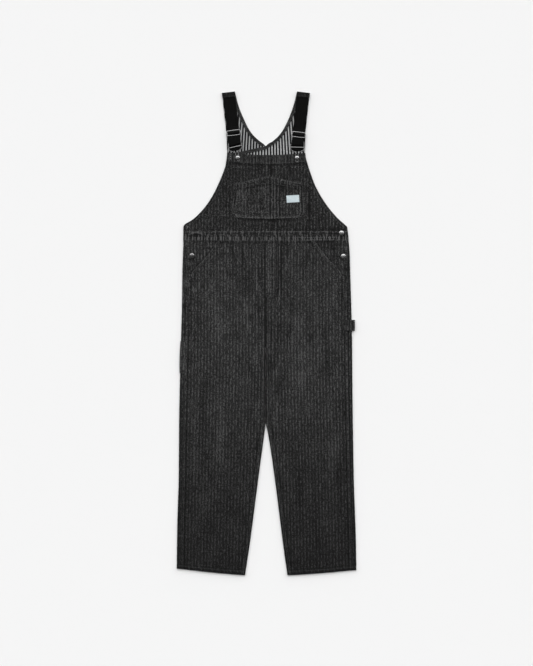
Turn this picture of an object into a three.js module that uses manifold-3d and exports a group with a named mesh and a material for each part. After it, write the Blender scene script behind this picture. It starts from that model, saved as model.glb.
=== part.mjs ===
// Bib dungarees in striped black denim, laid flat on their back with the straps fastened.
// Millimetres. X runs across, the wearer's left is +X. Y runs from the hems to the shoulders.
// Z is up from the floor, and the origin is on the floor under the middle of the garment.
import * as THREE from 'three';
import Module from 'manifold-3d';

const wasm = await Module();
wasm.setup();

// Driving dimensions
const CLOTH = 1.2;
const GAP = 0.3;
const LAYER = CLOTH + GAP;
const FRONT_UNDER = 3.2;
const LOWEST_FRONT = 1.9;
const FOLD_REACH = 3.5;

const WAIST_Y = 279;
const BAND_HEIGHT = 27;
const BIB_FOOT_Y = WAIST_Y + BAND_HEIGHT + 2 * GAP;
const POCKET_FOOT_Y = 166;
const CROTCH_Y = -47;
const CROTCH_TURN = 24;
const HEM_START_Y = -290;
const HEM_MIDDLE_Y = -715;
const HEM_DEPTH = 12;
const HEM_TURNING = 0.8;

const FLY = { width: 46, footY: 112, lift: 1.2, centreX: -4 };
const POCKET_UNDERLAP = 8;
const BAND_CLOTH = 2.4;
const SIDE_DROP = { depth: 1.4, reach: 18 };

const SIDES = [
  { name: 'right', dir: -1, hem: { outer: -706, inner: -724.6 } },
  { name: 'left', dir: 1, hem: { outer: -710, inner: -724.8 } },
];

// Folded outer edge of the flattened trouser part, at each height
const OUTER_EDGE = [
  { y: -710, right: -269.4, left: 269.7 },
  { y: -620, right: -268.5, left: 268.2 },
  { y: -530, right: -266.4, left: 265.2 },
  { y: -440, right: -263.4, left: 262.0 },
  { y: -270, right: -262.2, left: 259.2 },
  { y: -125, right: -259.4, left: 257.5 },
  { y: -20, right: -256.6, left: 256.8 },
  { y: 88, right: -253.5, left: 254.1 },
  { y: 184, right: -252.3, left: 251.1 },
  { y: 232, right: -250.8, left: 249.8 },
  { y: 279, right: -249.4, left: 246.4 },
  { y: 320, right: -249.2, left: 242.2 },
];

// Inner edge: the inseam fold below the crotch, the centre seams above it
const INNER_EDGE = [
  { y: -725, right: -64.2, left: 62.6 },
  { y: -620, right: -48.6, left: 48.2 },
  { y: -500, right: -33.0, left: 33.2 },
  { y: -440, right: -25.2, left: 25.2 },
  { y: -380, right: -17.2, left: 17.1 },
  { y: -320, right: -9.0, left: 7.8 },
  { y: -290, right: -5.2, left: 2.4 },
  { y: -268, right: -2.7, left: -2.2 },
  { y: CROTCH_Y, right: -3.2, left: -2.8 },
  { y: 279, right: -4.2, left: -3.8 },
];

// How far in from the folded edge the side seam lies, and the pocket mouth from the seam
const SIDE_SEAM = [
  { y: -710, seam: 20, mouth: 0 },
  { y: -450, seam: 19, mouth: 0 },
  { y: -125, seam: 21, mouth: 0 },
  { y: 90, seam: 22, mouth: 0 },
  { y: POCKET_FOOT_Y, seam: 24, mouth: 0 },
  { y: 186, seam: 20, mouth: 11 },
  { y: 217, seam: 13, mouth: 46 },
  { y: 248, seam: 11, mouth: 73 },
  { y: 279, seam: 11, mouth: 92 },
];

// Armhole outline of the bib
const BIB_EDGE = [
  { y: BIB_FOOT_Y, right: -249.3, left: 243.4 },
  { y: 319, right: -249.0, left: 241.8 },
  { y: 326, right: -246.0, left: 235.0 },
  { y: 340, right: -223.8, left: 219.3 },
  { y: 355, right: -206.1, left: 204.6 },
  { y: 385, right: -179.7, left: 180.3 },
  { y: 415, right: -160.5, left: 160.8 },
  { y: 445, right: -145.5, left: 145.2 },
  { y: 475, right: -132.6, left: 133.8 },
  { y: 505, right: -122.6, left: 124.0 },
  { y: 532, right: -118.6, left: 117.0 },
  { y: 548, right: -117.9, left: 115.8 },
];

// Outer edge of each back strap above the bib, and the V neck with its crossed tails below
const STRAP_EDGE = [
  { y: 548, right: -117.9, left: 115.8 },
  { y: 595, right: -120.3, left: 116.7 },
  { y: 649, right: -125.7, left: 121.8 },
  { y: 722, right: -133.7, left: 130.0 },
];
const NECK_EDGE = [
  { y: 279, right: 41.0, left: -47.0 },
  { y: 541, right: 66.0, left: -98.0 },
  { y: 547.2, right: 45.9, left: -69.5 },
  { y: 556.6, right: 15.5, left: -25.9 },
  { y: 562, right: -2.0, left: -2.2 },
  { y: 568, right: -8.4, left: 4.0 },
  { y: 577, right: -20.7, left: 19.0 },
  { y: 595, right: -40.2, left: 38.4 },
  { y: 613, right: -53.4, left: 51.2 },
  { y: 649, right: -70.8, left: 68.7 },
  { y: 685, right: -84.9, left: 81.6 },
  { y: 722, right: -94.4, left: 91.2 },
];
const NECK_POINT_Y = 562;
const CROSSING_LIFT = 1.55;
const CROSSING_RAMP = 12;

// Folds of the front, each a soft trough or ridge round a line through x, y
const CREASES = [
  { x: 41, y: 190, half: 76, lean: 0.06, width: 6, depth: -1.1 },
  { x: -73, y: 222, half: 56, lean: -0.04, width: 6, depth: -0.8 },
  { x: -20, y: 168, half: 52, lean: -0.08, width: 5, depth: -0.8 },
  { x: -29, y: 150, half: 60, lean: -0.1, width: 6, depth: 0.7 },
  { x: 24, y: 40, half: 90, lean: 0.02, width: 8, depth: 0.9 },
  { x: -190, y: -215, half: 120, lean: 0.02, width: 11, depth: -0.8 },
  { x: -140, y: -300, half: 150, lean: 0.05, width: 16, depth: 1.0 },
  { x: 98, y: -470, half: 120, lean: -0.06, width: 11, depth: -0.9 },
  { x: 104, y: -110, half: 120, lean: 0.05, width: 20, depth: 1.1 },
  { x: 192, y: -330, half: 170, lean: -0.03, width: 14, depth: 0.9 },
  { x: 24, y: -262, half: 62, lean: -0.45, width: 8, depth: 0.8 },
  { x: -150, y: 60, half: 130, lean: -0.03, width: 18, depth: 0.9 },
  { x: 1, y: 505, half: 44, lean: -0.05, width: 8, depth: 0.9 },
  { x: 33, y: 503, half: 44, lean: 0.05, width: 9, depth: 0.8 },
  { x: 126, y: 385, half: 72, lean: 0.0, width: 6, depth: -0.9 },
  { x: -97, y: 330, half: 40, lean: -0.25, width: 6, depth: -0.8 },
  { x: -2, y: 388, half: 90, lean: 0.02, width: 12, depth: 0.5 },
];

// Chest pocket, its label, and the dent of the pencil opening
const POCKET = {
  footY: 345, sideFootY: 350, sideTopY: 452, peakY: 471, peakS: 0.46,
  left: 112.2, right: -105, topLeft: 108, topRight: -89.4, corner: 21, cornerY: 370,
};
const PENCIL_DENT = [{ x: 48, y: 446, half: 26, lean: -0.1, width: 9, depth: -0.5 }];
const LABEL = { x: 79.2, y: 403.5, width: 39, height: 22.5, turn: 3.5, cloth: 1.0 };

// Straps: elastic webbing, its slider, and the wire buckle hooked on the bib's button
const WEB = { half: 18, cloth: 1.6, under: 3.1, start: 4.5 };
const WIRE = 1.1;
const SLIDER = { halfSpan: 6.9, halfWidth: 20.2, z: 8.0, corner: 3 };
const BUCKLE_Z = 6.7;
const RAIL_Y = 34.4;
const RAIL_SPACING = 8.6;
const BRACES = [
  {
    name: 'right', topX: -114, topY: 723, lean: 7.0, slider: 122.5, rail: 164.4,
    buttonX: -86.1, buttonY: 526.3, turn: 13.1, slack: 0,
  },
  {
    name: 'left', topX: 110.6, topY: 723, lean: -6.3, slider: 127.9, rail: 165.7,
    buttonX: 91.5, buttonY: 526.0, turn: -1.6, slack: 2.1,
  },
];

// The webbing past the slider, from the visible rail: over the hidden rail, under the visible one,
// round its own fold, which narrows between the wire's shoulders, and back up underneath
const WEB_FOLD = [
  { from: -13.6, z: 8.8, half: 18 },
  { from: -9.0, z: 8.95, half: 18 },
  { from: -7.8, z: 8.8, half: 18 },
  { from: -6.2, z: 7.9, half: 18 },
  { from: -4.3, z: 6.6, half: 18 },
  { from: -2.4, z: 5.3, half: 18 },
  { from: -0.8, z: 4.5, half: 18 },
  { from: 2.0, z: 4.3, half: 17.8 },
  { from: 6.0, z: 4.3, half: 16.6 },
  { from: 8.6, z: 4.3, half: 14.2 },
  { from: 9.9, z: 4.1, half: 11.6 },
  { from: 10.4, z: 3.3, half: 10.8 },
  { from: 9.9, z: 2.5, half: 11.6 },
  { from: 8.6, z: 2.3, half: 14.2 },
  { from: 6.0, z: 2.3, half: 16.6 },
  { from: 2.0, z: 2.3, half: 17.8 },
];
const TAB = { top: { outer: 720.6, inner: 725 }, radius: 3.1, length: 15 };

// Right half of the buckle wire, from the hidden top rail down to the tip under the button
const BUCKLE_WIRE = [
  { x: 18.2, y: RAIL_Y + RAIL_SPACING },
  { x: 20.4, y: RAIL_Y + RAIL_SPACING - 2.2 },
  { x: 20.4, y: RAIL_Y },
  { x: 18.6, y: 26.5 },
  { x: 13.5, y: 22.4 },
  { x: 7.6, y: 20.2 },
  { x: 4.6, y: 15.5 },
  { x: 4.2, y: 8.0 },
  { x: 4.9, y: 0.0 },
  { x: 4.6, y: -5.6 },
  { x: 2.6, y: -9.4 },
];
const BUCKLE_TIP_Y = -10.6;

const BUTTON = { bibRadius: 6.8, sideRadius: 7.7, shank: 2.6 };

// Turned profile of a button's domed head: share of the radius, and height above the neck
const BUTTON_HEAD = [
  [0.86, 0.2], [1, 1.3], [0.93, 2.1], [0.76, 2.6], [0.5, 3.0], [0.25, 3.2], [0, 3.25],
];

// The right side's button is tilted in its hole and leans towards the hem
const SIDE_BUTTONS = [
  { name: 'button_side_right', x: -223.5, y: 233.0, on: 'facing', tilt: 6 },
  { name: 'button_side_left_upper', x: 225.0, y: 300.6, on: 'band', tilt: 0 },
  { name: 'button_side_left_lower', x: 230.4, y: 231.0, on: 'facing', tilt: 0 },
];

const RULE_POCKET = { topY: -23, footY: -125, clear: 5, flare: 0.8 };
const HAMMER_LOOP = { y: 24, height: 30, start: 234, reach: 264.2, cloth: 2.0, clear: 0.55 };

// Materials
const denim = new THREE.MeshStandardMaterial({ color: 0x323232, roughness: 0.9, metalness: 0 });
const webbing = new THREE.MeshStandardMaterial({ color: 0x151515, roughness: 0.8, metalness: 0 });
const steel = new THREE.MeshStandardMaterial({ color: 0xb8b8b8, roughness: 0.3, metalness: 1 });
const labelCloth = new THREE.MeshStandardMaterial({ color: 0xc6d4da, roughness: 0.7, metalness: 0 });

const garment = new THREE.Group();

// Small helpers
const mix = (a, b, t) => a + (b - a) * t;
const clamp = (t) => Math.min(1, Math.max(0, t));
const ease = (t) => clamp(t) ** 2 * (3 - 2 * clamp(t));
const radians = (degrees) => (degrees * Math.PI) / 180;
const steps = (count) => Array.from({ length: count + 1 }, (_, i) => i / count);

// A column of a table, read at y along a smooth curve that never overshoots its rows
function at(rows, column, y) {
  const last = rows.length - 1;
  const slope = (k) => (rows[k + 1][column] - rows[k][column]) / (rows[k + 1].y - rows[k].y);
  const tangent = (k) => {
    if (k === 0) return slope(0);
    if (k === last) return slope(last - 1);
    const before = slope(k - 1);
    const after = slope(k);
    return before * after <= 0 ? 0 : (2 * before * after) / (before + after);
  };
  if (y <= rows[0].y) return rows[0][column] + slope(0) * (y - rows[0].y);
  if (y >= rows[last].y) return rows[last][column] + slope(last - 1) * (y - rows[last].y);
  const k = rows.findIndex((row) => row.y >= y) - 1;
  const span = rows[k + 1].y - rows[k].y;
  const t = (y - rows[k].y) / span;
  const reach = 3 * t ** 2 - 2 * t ** 3;
  const held = mix(rows[k][column], rows[k + 1][column], reach);
  return held + span * ((t ** 3 - 2 * t ** 2 + t) * tangent(k) + (t ** 3 - t ** 2) * tangent(k + 1));
}

// Height that a table of creases adds at a point
function creased(rows, x, y) {
  let height = 0;
  for (const crease of rows) {
    const along = (y - crease.y) / crease.half;
    if (Math.abs(along) >= 1) continue;
    const across = (x - crease.x - crease.lean * (y - crease.y)) / crease.width;
    height += crease.depth * Math.exp(-across * across) * (1 - along * along) ** 2;
  }
  return height;
}

// Places and heights of the cloth
const outerX = (side, y) => at(OUTER_EDGE, side.name, y);
const innerX = (side, y) => at(INNER_EDGE, side.name, y);
const seamX = (side, y) => outerX(side, y) - side.dir * at(SIDE_SEAM, 'seam', y);
const frontX = (side, y) => seamX(side, y) - side.dir * at(SIDE_SEAM, 'mouth', y);

function flyLift(x, y) {
  if (x < FLY.centreX) return 0;
  return FLY.lift * ease((FLY.width - (x - FLY.centreX)) / 6) * ease((y - FLY.footY) / 26);
}

const frontUnder = (x, y) => Math.max(LOWEST_FRONT, FRONT_UNDER + creased(CREASES, x, y) + flyLift(x, y));
const frontTop = (x, y) => frontUnder(x, y) + CLOTH;

function bibEdge(name, y) {
  return at(BIB_EDGE, name, y);
}

function bibTopY(s) {
  return mix(543, 541.5, s) - 7.5 * Math.sin(Math.PI * s);
}

function sideDrop(right, left, x) {
  const inward = Math.min(x - right, left - x);
  return SIDE_DROP.depth * ease(1 - inward / SIDE_DROP.reach);
}

function bibUnder(x, y) {
  return FRONT_UNDER + creased(CREASES, x, y) - sideDrop(bibEdge('right', y), bibEdge('left', y), x);
}

function bandUnder(x, y) {
  return FRONT_UNDER + creased(CREASES, x, y) - sideDrop(outerX(SIDES[0], y), outerX(SIDES[1], y), x);
}

// A closed body from rings of points that may close on themselves along either direction
function shell(name, material, points, faces, parent = garment) {
  const geometry = new THREE.BufferGeometry();
  geometry.setAttribute('position', new THREE.Float32BufferAttribute(points.flat(), 3));
  geometry.setIndex(outward(points, faces).flat());
  geometry.computeVertexNormals();
  return solid(name, material, geometry, parent);
}

function solid(name, material, geometry, parent = garment) {
  const mesh = new THREE.Mesh(geometry, material);
  mesh.name = name;
  parent.add(mesh);
  return mesh;
}

// The faces in the order that points them outwards
function outward(points, faces) {
  let volume = 0;
  for (const [a, b, c] of faces) {
    const [p, q, r] = [points[a], points[b], points[c]].map((v) => new THREE.Vector3(...v));
    volume += p.dot(q.cross(r));
  }
  return volume > 0 ? faces : faces.map(([a, b, c]) => [a, c, b]);
}

// Cloth between two grids of points with the same rows and columns
function wall(name, material, upper, lower, parent = garment) {
  const rows = upper.length;
  const columns = upper[0].length;
  const points = [...upper.flat(), ...lower.flat()];
  const top = (i, j) => i * columns + j;
  const under = (i, j) => rows * columns + top(i, j);
  const faces = [];
  const quad = (a, b, c, d) => faces.push([a, b, c], [a, c, d]);
  for (let i = 0; i < rows - 1; i += 1) {
    for (let j = 0; j < columns - 1; j += 1) {
      quad(top(i, j), top(i, j + 1), top(i + 1, j + 1), top(i + 1, j));
      quad(under(i, j), under(i + 1, j), under(i + 1, j + 1), under(i, j + 1));
    }
    quad(top(i, 0), top(i + 1, 0), under(i + 1, 0), under(i, 0));
    quad(top(i, columns - 1), under(i, columns - 1), under(i + 1, columns - 1), top(i + 1, columns - 1));
  }
  for (let j = 0; j < columns - 1; j += 1) {
    quad(top(0, j), under(0, j), under(0, j + 1), top(0, j + 1));
    quad(top(rows - 1, j), top(rows - 1, j + 1), under(rows - 1, j + 1), under(rows - 1, j));
  }
  return shell(name, material, points, faces, parent);
}

// Cloth that lies almost flat: place(s, row) gives x and y, under(x, y) its lower side
function panel(name, material, rows, columns, place, under, cloth) {
  const lower = rows.map((row) => steps(columns).map((s) => {
    const [x, y] = place(s, row);
    return [x, y, under(x, y)];
  }));
  const upper = lower.map((line, i) => line.map(([x, y, z]) => [x, y, z + cloth(rows[i], x, y)]));
  return wall(name, material, upper, lower);
}

// A section of [across, up] points carried along a flat path of {point, side} frames
function sweep(frames, section, closed) {
  const size = section.length;
  const points = frames.flatMap(({ point, side, up }) => section.map(([across, rise]) => (
    point.map((v, k) => v + side[k] * across + up[k] * rise)
  )));
  const faces = [];
  const rings = closed ? frames.length : frames.length - 1;
  for (let i = 0; i < rings; i += 1) {
    const next = (i + 1) % frames.length;
    for (let j = 0; j < size; j += 1) {
      const beside = (j + 1) % size;
      faces.push([i * size + j, i * size + beside, next * size + beside]);
      faces.push([i * size + j, next * size + beside, next * size + j]);
    }
  }
  if (!closed) {
    const end = (frames.length - 1) * size;
    for (let j = 1; j < size - 1; j += 1) {
      faces.push([0, j + 1, j]);
      faces.push([end, end + j, end + j + 1]);
    }
  }
  return { points, faces: outward(points, faces) };
}

const wireSection = (radius, sides) => steps(sides).slice(1).map((t) => (
  [radius * Math.cos(2 * Math.PI * t), radius * Math.sin(2 * Math.PI * t)]
));

// Frames along a closed line in the plane at height z
function flatRing(line, z) {
  return line.map((p, i) => {
    const before = line[(i + line.length - 1) % line.length];
    const after = line[(i + 1) % line.length];
    const way = new THREE.Vector2(after[0] - before[0], after[1] - before[1]).normalize();
    return { point: [p[0], p[1], z], side: [way.y, -way.x, 0], up: [0, 0, 1] };
  });
}

// A straight wire across from -half to half at the given y and height
function crossBar(half, y, z, radius, sides) {
  const frame = (x) => ({ point: [x, y, z], side: [0, 1, 0], up: [0, 0, 1] });
  return sweep([frame(-half), frame(half)], wireSection(radius, sides), false);
}

function manifoldOf({ points, faces }) {
  return new wasm.Manifold(new wasm.Mesh({
    numProp: 3,
    vertProperties: new Float32Array(points.flat()),
    triVerts: new Uint32Array(faces.flat()),
  }));
}

function joined(parts) {
  const mesh = parts.map(manifoldOf).reduce((whole, piece) => whole.add(piece)).getMesh();
  const geometry = new THREE.BufferGeometry();
  geometry.setAttribute('position', new THREE.BufferAttribute(mesh.vertProperties, mesh.numProp));
  geometry.setIndex(new THREE.BufferAttribute(mesh.triVerts, 1));
  return geometry;
}

// Legs: rows of nominal heights, closer together at the pocket, the crotch and the hem
function legRows() {
  const stretches = [
    { to: POCKET_FOOT_Y, count: 5 },
    { to: -20, count: 4 },
    { to: -76, count: 3 },
    { to: HEM_START_Y, count: 5 },
    { to: HEM_MIDDLE_Y + HEM_DEPTH, count: 9 },
    { to: HEM_MIDDLE_Y, count: 1 },
  ];
  const rows = [WAIST_Y];
  for (const { to, count } of stretches) {
    const from = rows[rows.length - 1];
    rows.push(...steps(count).slice(1).map((t) => mix(from, to, t)));
  }
  return rows;
}

// A row's own height at s, 0 at the outer edge and 1 at the inner, as the hem slopes
function rowY(side, row, s) {
  if (row > HEM_START_Y) return row;
  const share = (row - HEM_START_Y) / (HEM_MIDDLE_Y - HEM_START_Y);
  return mix(HEM_START_Y, mix(side.hem.outer, side.hem.inner, s), share);
}

// Round the inner fold at an angle, from -90 under the leg to 90 on top, and flat above the crotch
function innerCurl(side, y, angle, inset, flatZ) {
  const edge = innerX(side, y);
  const height = frontTop(edge + side.dir * FOLD_REACH, y);
  const round = ease((CROTCH_Y + CROTCH_TURN / 2 - y) / CROTCH_TURN);
  const reach = (FOLD_REACH - inset) * Math.cos(angle);
  const turned = edge + side.dir * (FOLD_REACH - reach);
  const flat = edge + side.dir * FOLD_REACH * (Math.abs(angle) / (Math.PI / 2));
  const z = height / 2 + (height / 2 - inset) * Math.sin(angle);
  return [mix(flat, turned, round), y, mix(flatZ, z, round)];
}

function backLeg(side) {
  const strip = [0, 0.5].map((t) => ({ kind: 'strip', t }));
  const fold = [90, 45, 0, -45, -90].map((angle) => ({ kind: 'fold', angle: radians(angle) }));
  const under = [0.25, 0.5, 0.75].map((t) => ({ kind: 'under', t }));
  const curl = [-90, -45, -4].map((angle) => ({ kind: 'curl', angle: radians(angle) }));
  const columns = [...strip, ...fold, ...under, ...curl];
  const point = (row, column, inset) => {
    const y = rowY(side, row, column.kind === 'under' ? column.t : Number(column.kind === 'curl'));
    const edge = outerX(side, y);
    const start = edge - side.dir * FOLD_REACH;
    const height = frontTop(start, y);
    if (column.kind === 'strip') {
      const x = mix(seamX(side, y), start, column.t);
      return [x, y, frontTop(x, y) - inset];
    }
    if (column.kind === 'fold') {
      const reach = (FOLD_REACH - inset) * Math.cos(column.angle);
      return [start + side.dir * reach, y, height / 2 + (height / 2 - inset) * Math.sin(column.angle)];
    }
    if (column.kind === 'under') {
      return [mix(start, innerX(side, y) + side.dir * FOLD_REACH, column.t), y, inset];
    }
    return innerCurl(side, y, column.angle, inset, inset);
  };
  const grid = (inset) => legRows().map((row) => columns.map((column) => point(row, column, inset)));
  wall(`${side.name}_back_leg`, denim, grid(0), grid(CLOTH));
}

function frontLeg(side) {
  const across = steps(8).map((t) => ({ kind: 'top', t }));
  const curl = [45, 4].map((angle) => ({ kind: 'curl', angle: radians(angle) }));
  const columns = [...across, ...curl];
  const point = (row, column, inset) => {
    const y = rowY(side, row, column.kind === 'top' ? column.t : 1);
    const isHem = row <= HEM_MIDDLE_Y + HEM_DEPTH && inset === 0;
    const turning = isHem ? HEM_TURNING : 0;
    if (column.kind === 'curl') {
      const x = innerX(side, y);
      return innerCurl(side, y, column.angle, inset, frontTop(x, y) - inset);
    }
    const start = frontX(side, y) - side.dir * GAP;
    const x = mix(start, innerX(side, y) + side.dir * FOLD_REACH, column.t);
    return [x, y, frontTop(x, y) - inset + turning];
  };
  const grid = (inset) => legRows().map((row) => columns.map((column) => point(row, column, inset)));
  wall(`${side.name}_front_leg`, denim, grid(0), grid(CLOTH));
}

// The facing behind the slanted pocket mouth climbs from under the front to the side seam
function facingUnder(side, x, y) {
  const mouth = frontX(side, y);
  const room = Math.abs(seamX(side, y) - mouth);
  const past = side.dir * (x - mouth) - 2;
  return CLOTH + GAP + 0.1 + (FRONT_UNDER - LAYER - 0.1) * ease(past / Math.max(room, 20)) * ease(room / 26);
}

function hipFacing(side) {
  const rows = [...legRows().filter((y) => y > POCKET_FOOT_Y), POCKET_FOOT_Y + 4];
  const place = (s, row) => {
    const inner = frontX(side, row) - side.dir * POCKET_UNDERLAP;
    const outer = seamX(side, row) - side.dir * GAP;
    return [mix(inner, outer, s), row];
  };
  panel(`${side.name}_pocket_facing`, denim, rows, 6, place, (x, y) => facingUnder(side, x, y), () => CLOTH);
}

function waistband() {
  const rows = steps(3).map((t) => WAIST_Y + GAP + t * BAND_HEIGHT);
  const place = (s, row) => [mix(outerX(SIDES[0], row), outerX(SIDES[1], row), s), row];
  panel('waistband', denim, rows, 24, place, bandUnder, () => BAND_CLOTH);
}

function bib() {
  const body = steps(12).map((t) => ({ rise: 0.35 * t + 0.65 * t * t, band: 0 }));
  const rows = [...body, { rise: 1, band: 1.5 }, { rise: 1, band: BAND_HEIGHT }];
  const place = (s, { rise, band }) => {
    const y = mix(BIB_FOOT_Y, bibTopY(s) - BAND_HEIGHT, rise) + band;
    return [mix(bibEdge('right', y), bibEdge('left', y), s), y];
  };
  panel('bib', denim, rows, 16, place, bibUnder, (row) => (row.band > 0 ? CLOTH + HEM_TURNING : CLOTH));
}

function pocketPlace(s, v) {
  const foot = mix(POCKET.sideFootY, POCKET.footY, Math.sin(Math.PI * s) ** 0.5);
  const toPeak = s < POCKET.peakS ? s / POCKET.peakS : (1 - s) / (1 - POCKET.peakS);
  const top = mix(POCKET.sideTopY, POCKET.peakY, ease(toPeak) * 0.5 + toPeak * 0.5);
  const y = mix(foot, top, v);
  const up = (y - POCKET.cornerY) / (POCKET.sideTopY - POCKET.cornerY);
  const tuck = POCKET.corner * (1 - Math.sqrt(1 - clamp(-up / 0.3) ** 2));
  const right = mix(POCKET.right, POCKET.topRight, clamp(up)) + tuck;
  const left = mix(POCKET.left, POCKET.topLeft, clamp(up)) - tuck;
  return [mix(right, left, s), y];
}

const pocketUnder = (x, y) => bibUnder(x, y) + CLOTH + GAP;
const pocketTop = (x, y) => pocketUnder(x, y) + CLOTH + 0.5 + creased(PENCIL_DENT, x, y);

function chestPocket() {
  const rows = [0, 0.06, 0.14, 0.24, 0.4, 0.58, 0.76, 0.9, 1];
  const cloth = (row, x, y) => pocketTop(x, y) - pocketUnder(x, y);
  panel('chest_pocket', denim, rows, 14, pocketPlace, pocketUnder, cloth);
}

function label() {
  const turn = radians(LABEL.turn);
  const place = (s, row) => {
    const [across, up] = [(s - 0.5) * LABEL.width, (row - 0.5) * LABEL.height];
    return [
      LABEL.x + across * Math.cos(turn) - up * Math.sin(turn),
      LABEL.y + across * Math.sin(turn) + up * Math.cos(turn),
    ];
  };
  panel('label', labelCloth, steps(2), 4, place, (x, y) => pocketTop(x, y) + GAP, () => LABEL.cloth);
}

// Back bib halves, each running up into its shoulder strap and over to the front as a tab
function backEdge(side, y) {
  if (y >= STRAP_EDGE[0].y) return at(STRAP_EDGE, side.name, y);
  const inset = 2 * ease((STRAP_EDGE[0].y - y) / 20);
  return (y > BIB_EDGE[0].y ? bibEdge(side.name, y) : outerX(side, y)) - side.dir * inset;
}

const neckX = (side, y) => at(NECK_EDGE, side.name, y);

// The left half lies on the right half where their tails cross
function backUnder(side, x, y) {
  if (side.dir < 0) return 0;
  return CROSSING_LIFT * ease((neckX(SIDES[0], y) + CROSSING_RAMP + 2 - x) / CROSSING_RAMP);
}

// Height in the strap where its rows tilt towards the slanted shoulder fold
function strapY(row, s) {
  const middle = (TAB.top.outer + TAB.top.inner) / 2;
  const share = ease((row - 640) / (middle - 640));
  return row + share * mix(TAB.top.outer - middle, TAB.top.inner - middle, s);
}

// Where the columns of a back half lie; the left has two close ones where it climbs onto the right
function backShares(side, y) {
  if (side.dir < 0) return [0, 0.5, 1];
  const [edge, neck, crossing] = [backEdge(side, y), neckX(side, y), neckX(SIDES[0], y)];
  const share = (x) => (x - edge) / (neck - edge);
  const foot = Math.min(share(crossing + 2 + CROSSING_RAMP), 0.84);
  const top = Math.min(share(crossing + 2), 0.94);
  return [0, foot / 2, foot, top, (top + 1) / 2, 1];
}

function backBib(side) {
  const shoulder = (TAB.top.outer + TAB.top.inner) / 2 - TAB.radius;
  const flat = [
    WAIST_Y + GAP, 306, 321, 329, 341, 357, 385, 418, 455, 495, 526, 541, 548, 555, 562, 568,
    577, 591, 609, 634, 664, 694, shoulder,
  ].map((y) => ({ y, out: 0, inn: CLOTH }));
  const turn = [-60, -30, 0, 30, 60].map((angle) => {
    const [c, s] = [Math.cos(radians(angle)), Math.sin(radians(angle))];
    const thin = TAB.radius - CLOTH;
    return {
      y: shoulder + TAB.radius * c, out: TAB.radius * (1 + s),
      yInner: shoulder + thin * c, inn: TAB.radius + thin * s,
    };
  });
  const over = [0, 0.5, 1].map((t) => ({
    y: shoulder - t * (TAB.length - TAB.radius), out: 2 * TAB.radius, inn: 2 * TAB.radius - CLOTH,
  }));
  const rows = [...flat, ...turn, ...over];
  const grid = (level) => rows.map((row) => backShares(side, row.y).map((s) => {
    const nominal = level === 'inn' && row.yInner ? row.yInner : row.y;
    const y = strapY(nominal, s);
    const x = mix(backEdge(side, Math.min(y, TAB.top.inner)), neckX(side, y), s);
    return [x, y, backUnder(side, x, y) + row[level]];
  }));
  wall(`${side.name}_back_bib`, denim, grid('out'), grid('inn'));
}

// Facing bound along the neck edge, on the inside of the back
const NECK_FACING = {
  width: 9, topY: 719,
  right: { endY: 563.4, slant: 5.6, climb: 0 },
  left: { endY: 542.5, slant: 6.5, climb: 0.45 },
};

function neckFacing(side) {
  const end = NECK_FACING[side.name];
  const across = [0, 0.5, 1];
  const point = (t, w, z) => {
    const y = mix(NECK_FACING.topY, end.endY + end.slant * w, t);
    const way = new THREE.Vector2(neckX(side, y - 0.5) - neckX(side, y + 0.5), -1).normalize();
    const inwards = [-side.dir * way.y, side.dir * way.x];
    const reach = 0.2 + w * NECK_FACING.width;
    const [x, py] = [neckX(side, y) + inwards[0] * reach, y + inwards[1] * reach];
    return [x, py, backUnder(side, x, py) + z + end.climb * ease((NECK_POINT_Y + 40 - py) / 30)];
  };
  const rows = steps(22).map((t) => 1 - (1 - t) ** 1.4);
  const grid = (z) => rows.map((t) => across.map((w) => point(t, w, z)));
  wall(`${side.name}_neck_facing`, denim, grid(LAYER + CLOTH), grid(LAYER));
}

// A band of cloth along a line of { from, z, half }; place puts (across, from, z) in the model
function band(name, material, line, cloth, place, parent = garment) {
  const grid = (rise) => line.map((row, i) => {
    const before = line[Math.max(0, i - 1)];
    const after = line[Math.min(line.length - 1, i + 1)];
    const way = new THREE.Vector2(after.from - before.from, after.z - before.z).normalize();
    const [from, z] = [row.from - way.y * rise, row.z + way.x * rise];
    return [-row.half, row.half].map((across) => place(across, from, z));
  });
  wall(name, material, grid(cloth / 2), grid(-cloth / 2), parent);
}

// The webbing's line from the shoulder, woven through the slider and folded round the buckle
function webLine({ slider, rail }) {
  const low = WEB.under + WEB.cloth / 2;
  const reach = WIRE + GAP + WEB.cloth / 2;
  const strap = [
    [WEB.start, low], [slider / 2, low], [slider - 24, low],
    [slider - 18, low + 0.3], [slider - 12, low + 1.2],
  ];
  const weave = steps(12).map((t) => {
    const d = mix(-SLIDER.halfSpan, SLIDER.halfSpan, t);
    return [slider + d, SLIDER.z + reach * Math.cos((Math.PI * d) / SLIDER.halfSpan)];
  });
  const rise = [[slider + 12, low + 2.9], [slider + 17, low + 4.2]];
  const fold = WEB_FOLD.map((row) => ({ ...row, from: rail + row.from }));
  const back = [[(rail + slider) / 2, 2.3], [slider + 2, 2.3]];
  const full = ([from, z]) => ({ from, z, half: WEB.half });
  return [...[...strap, ...weave, ...rise].map(full), ...fold, ...back.map(full)];
}

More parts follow.
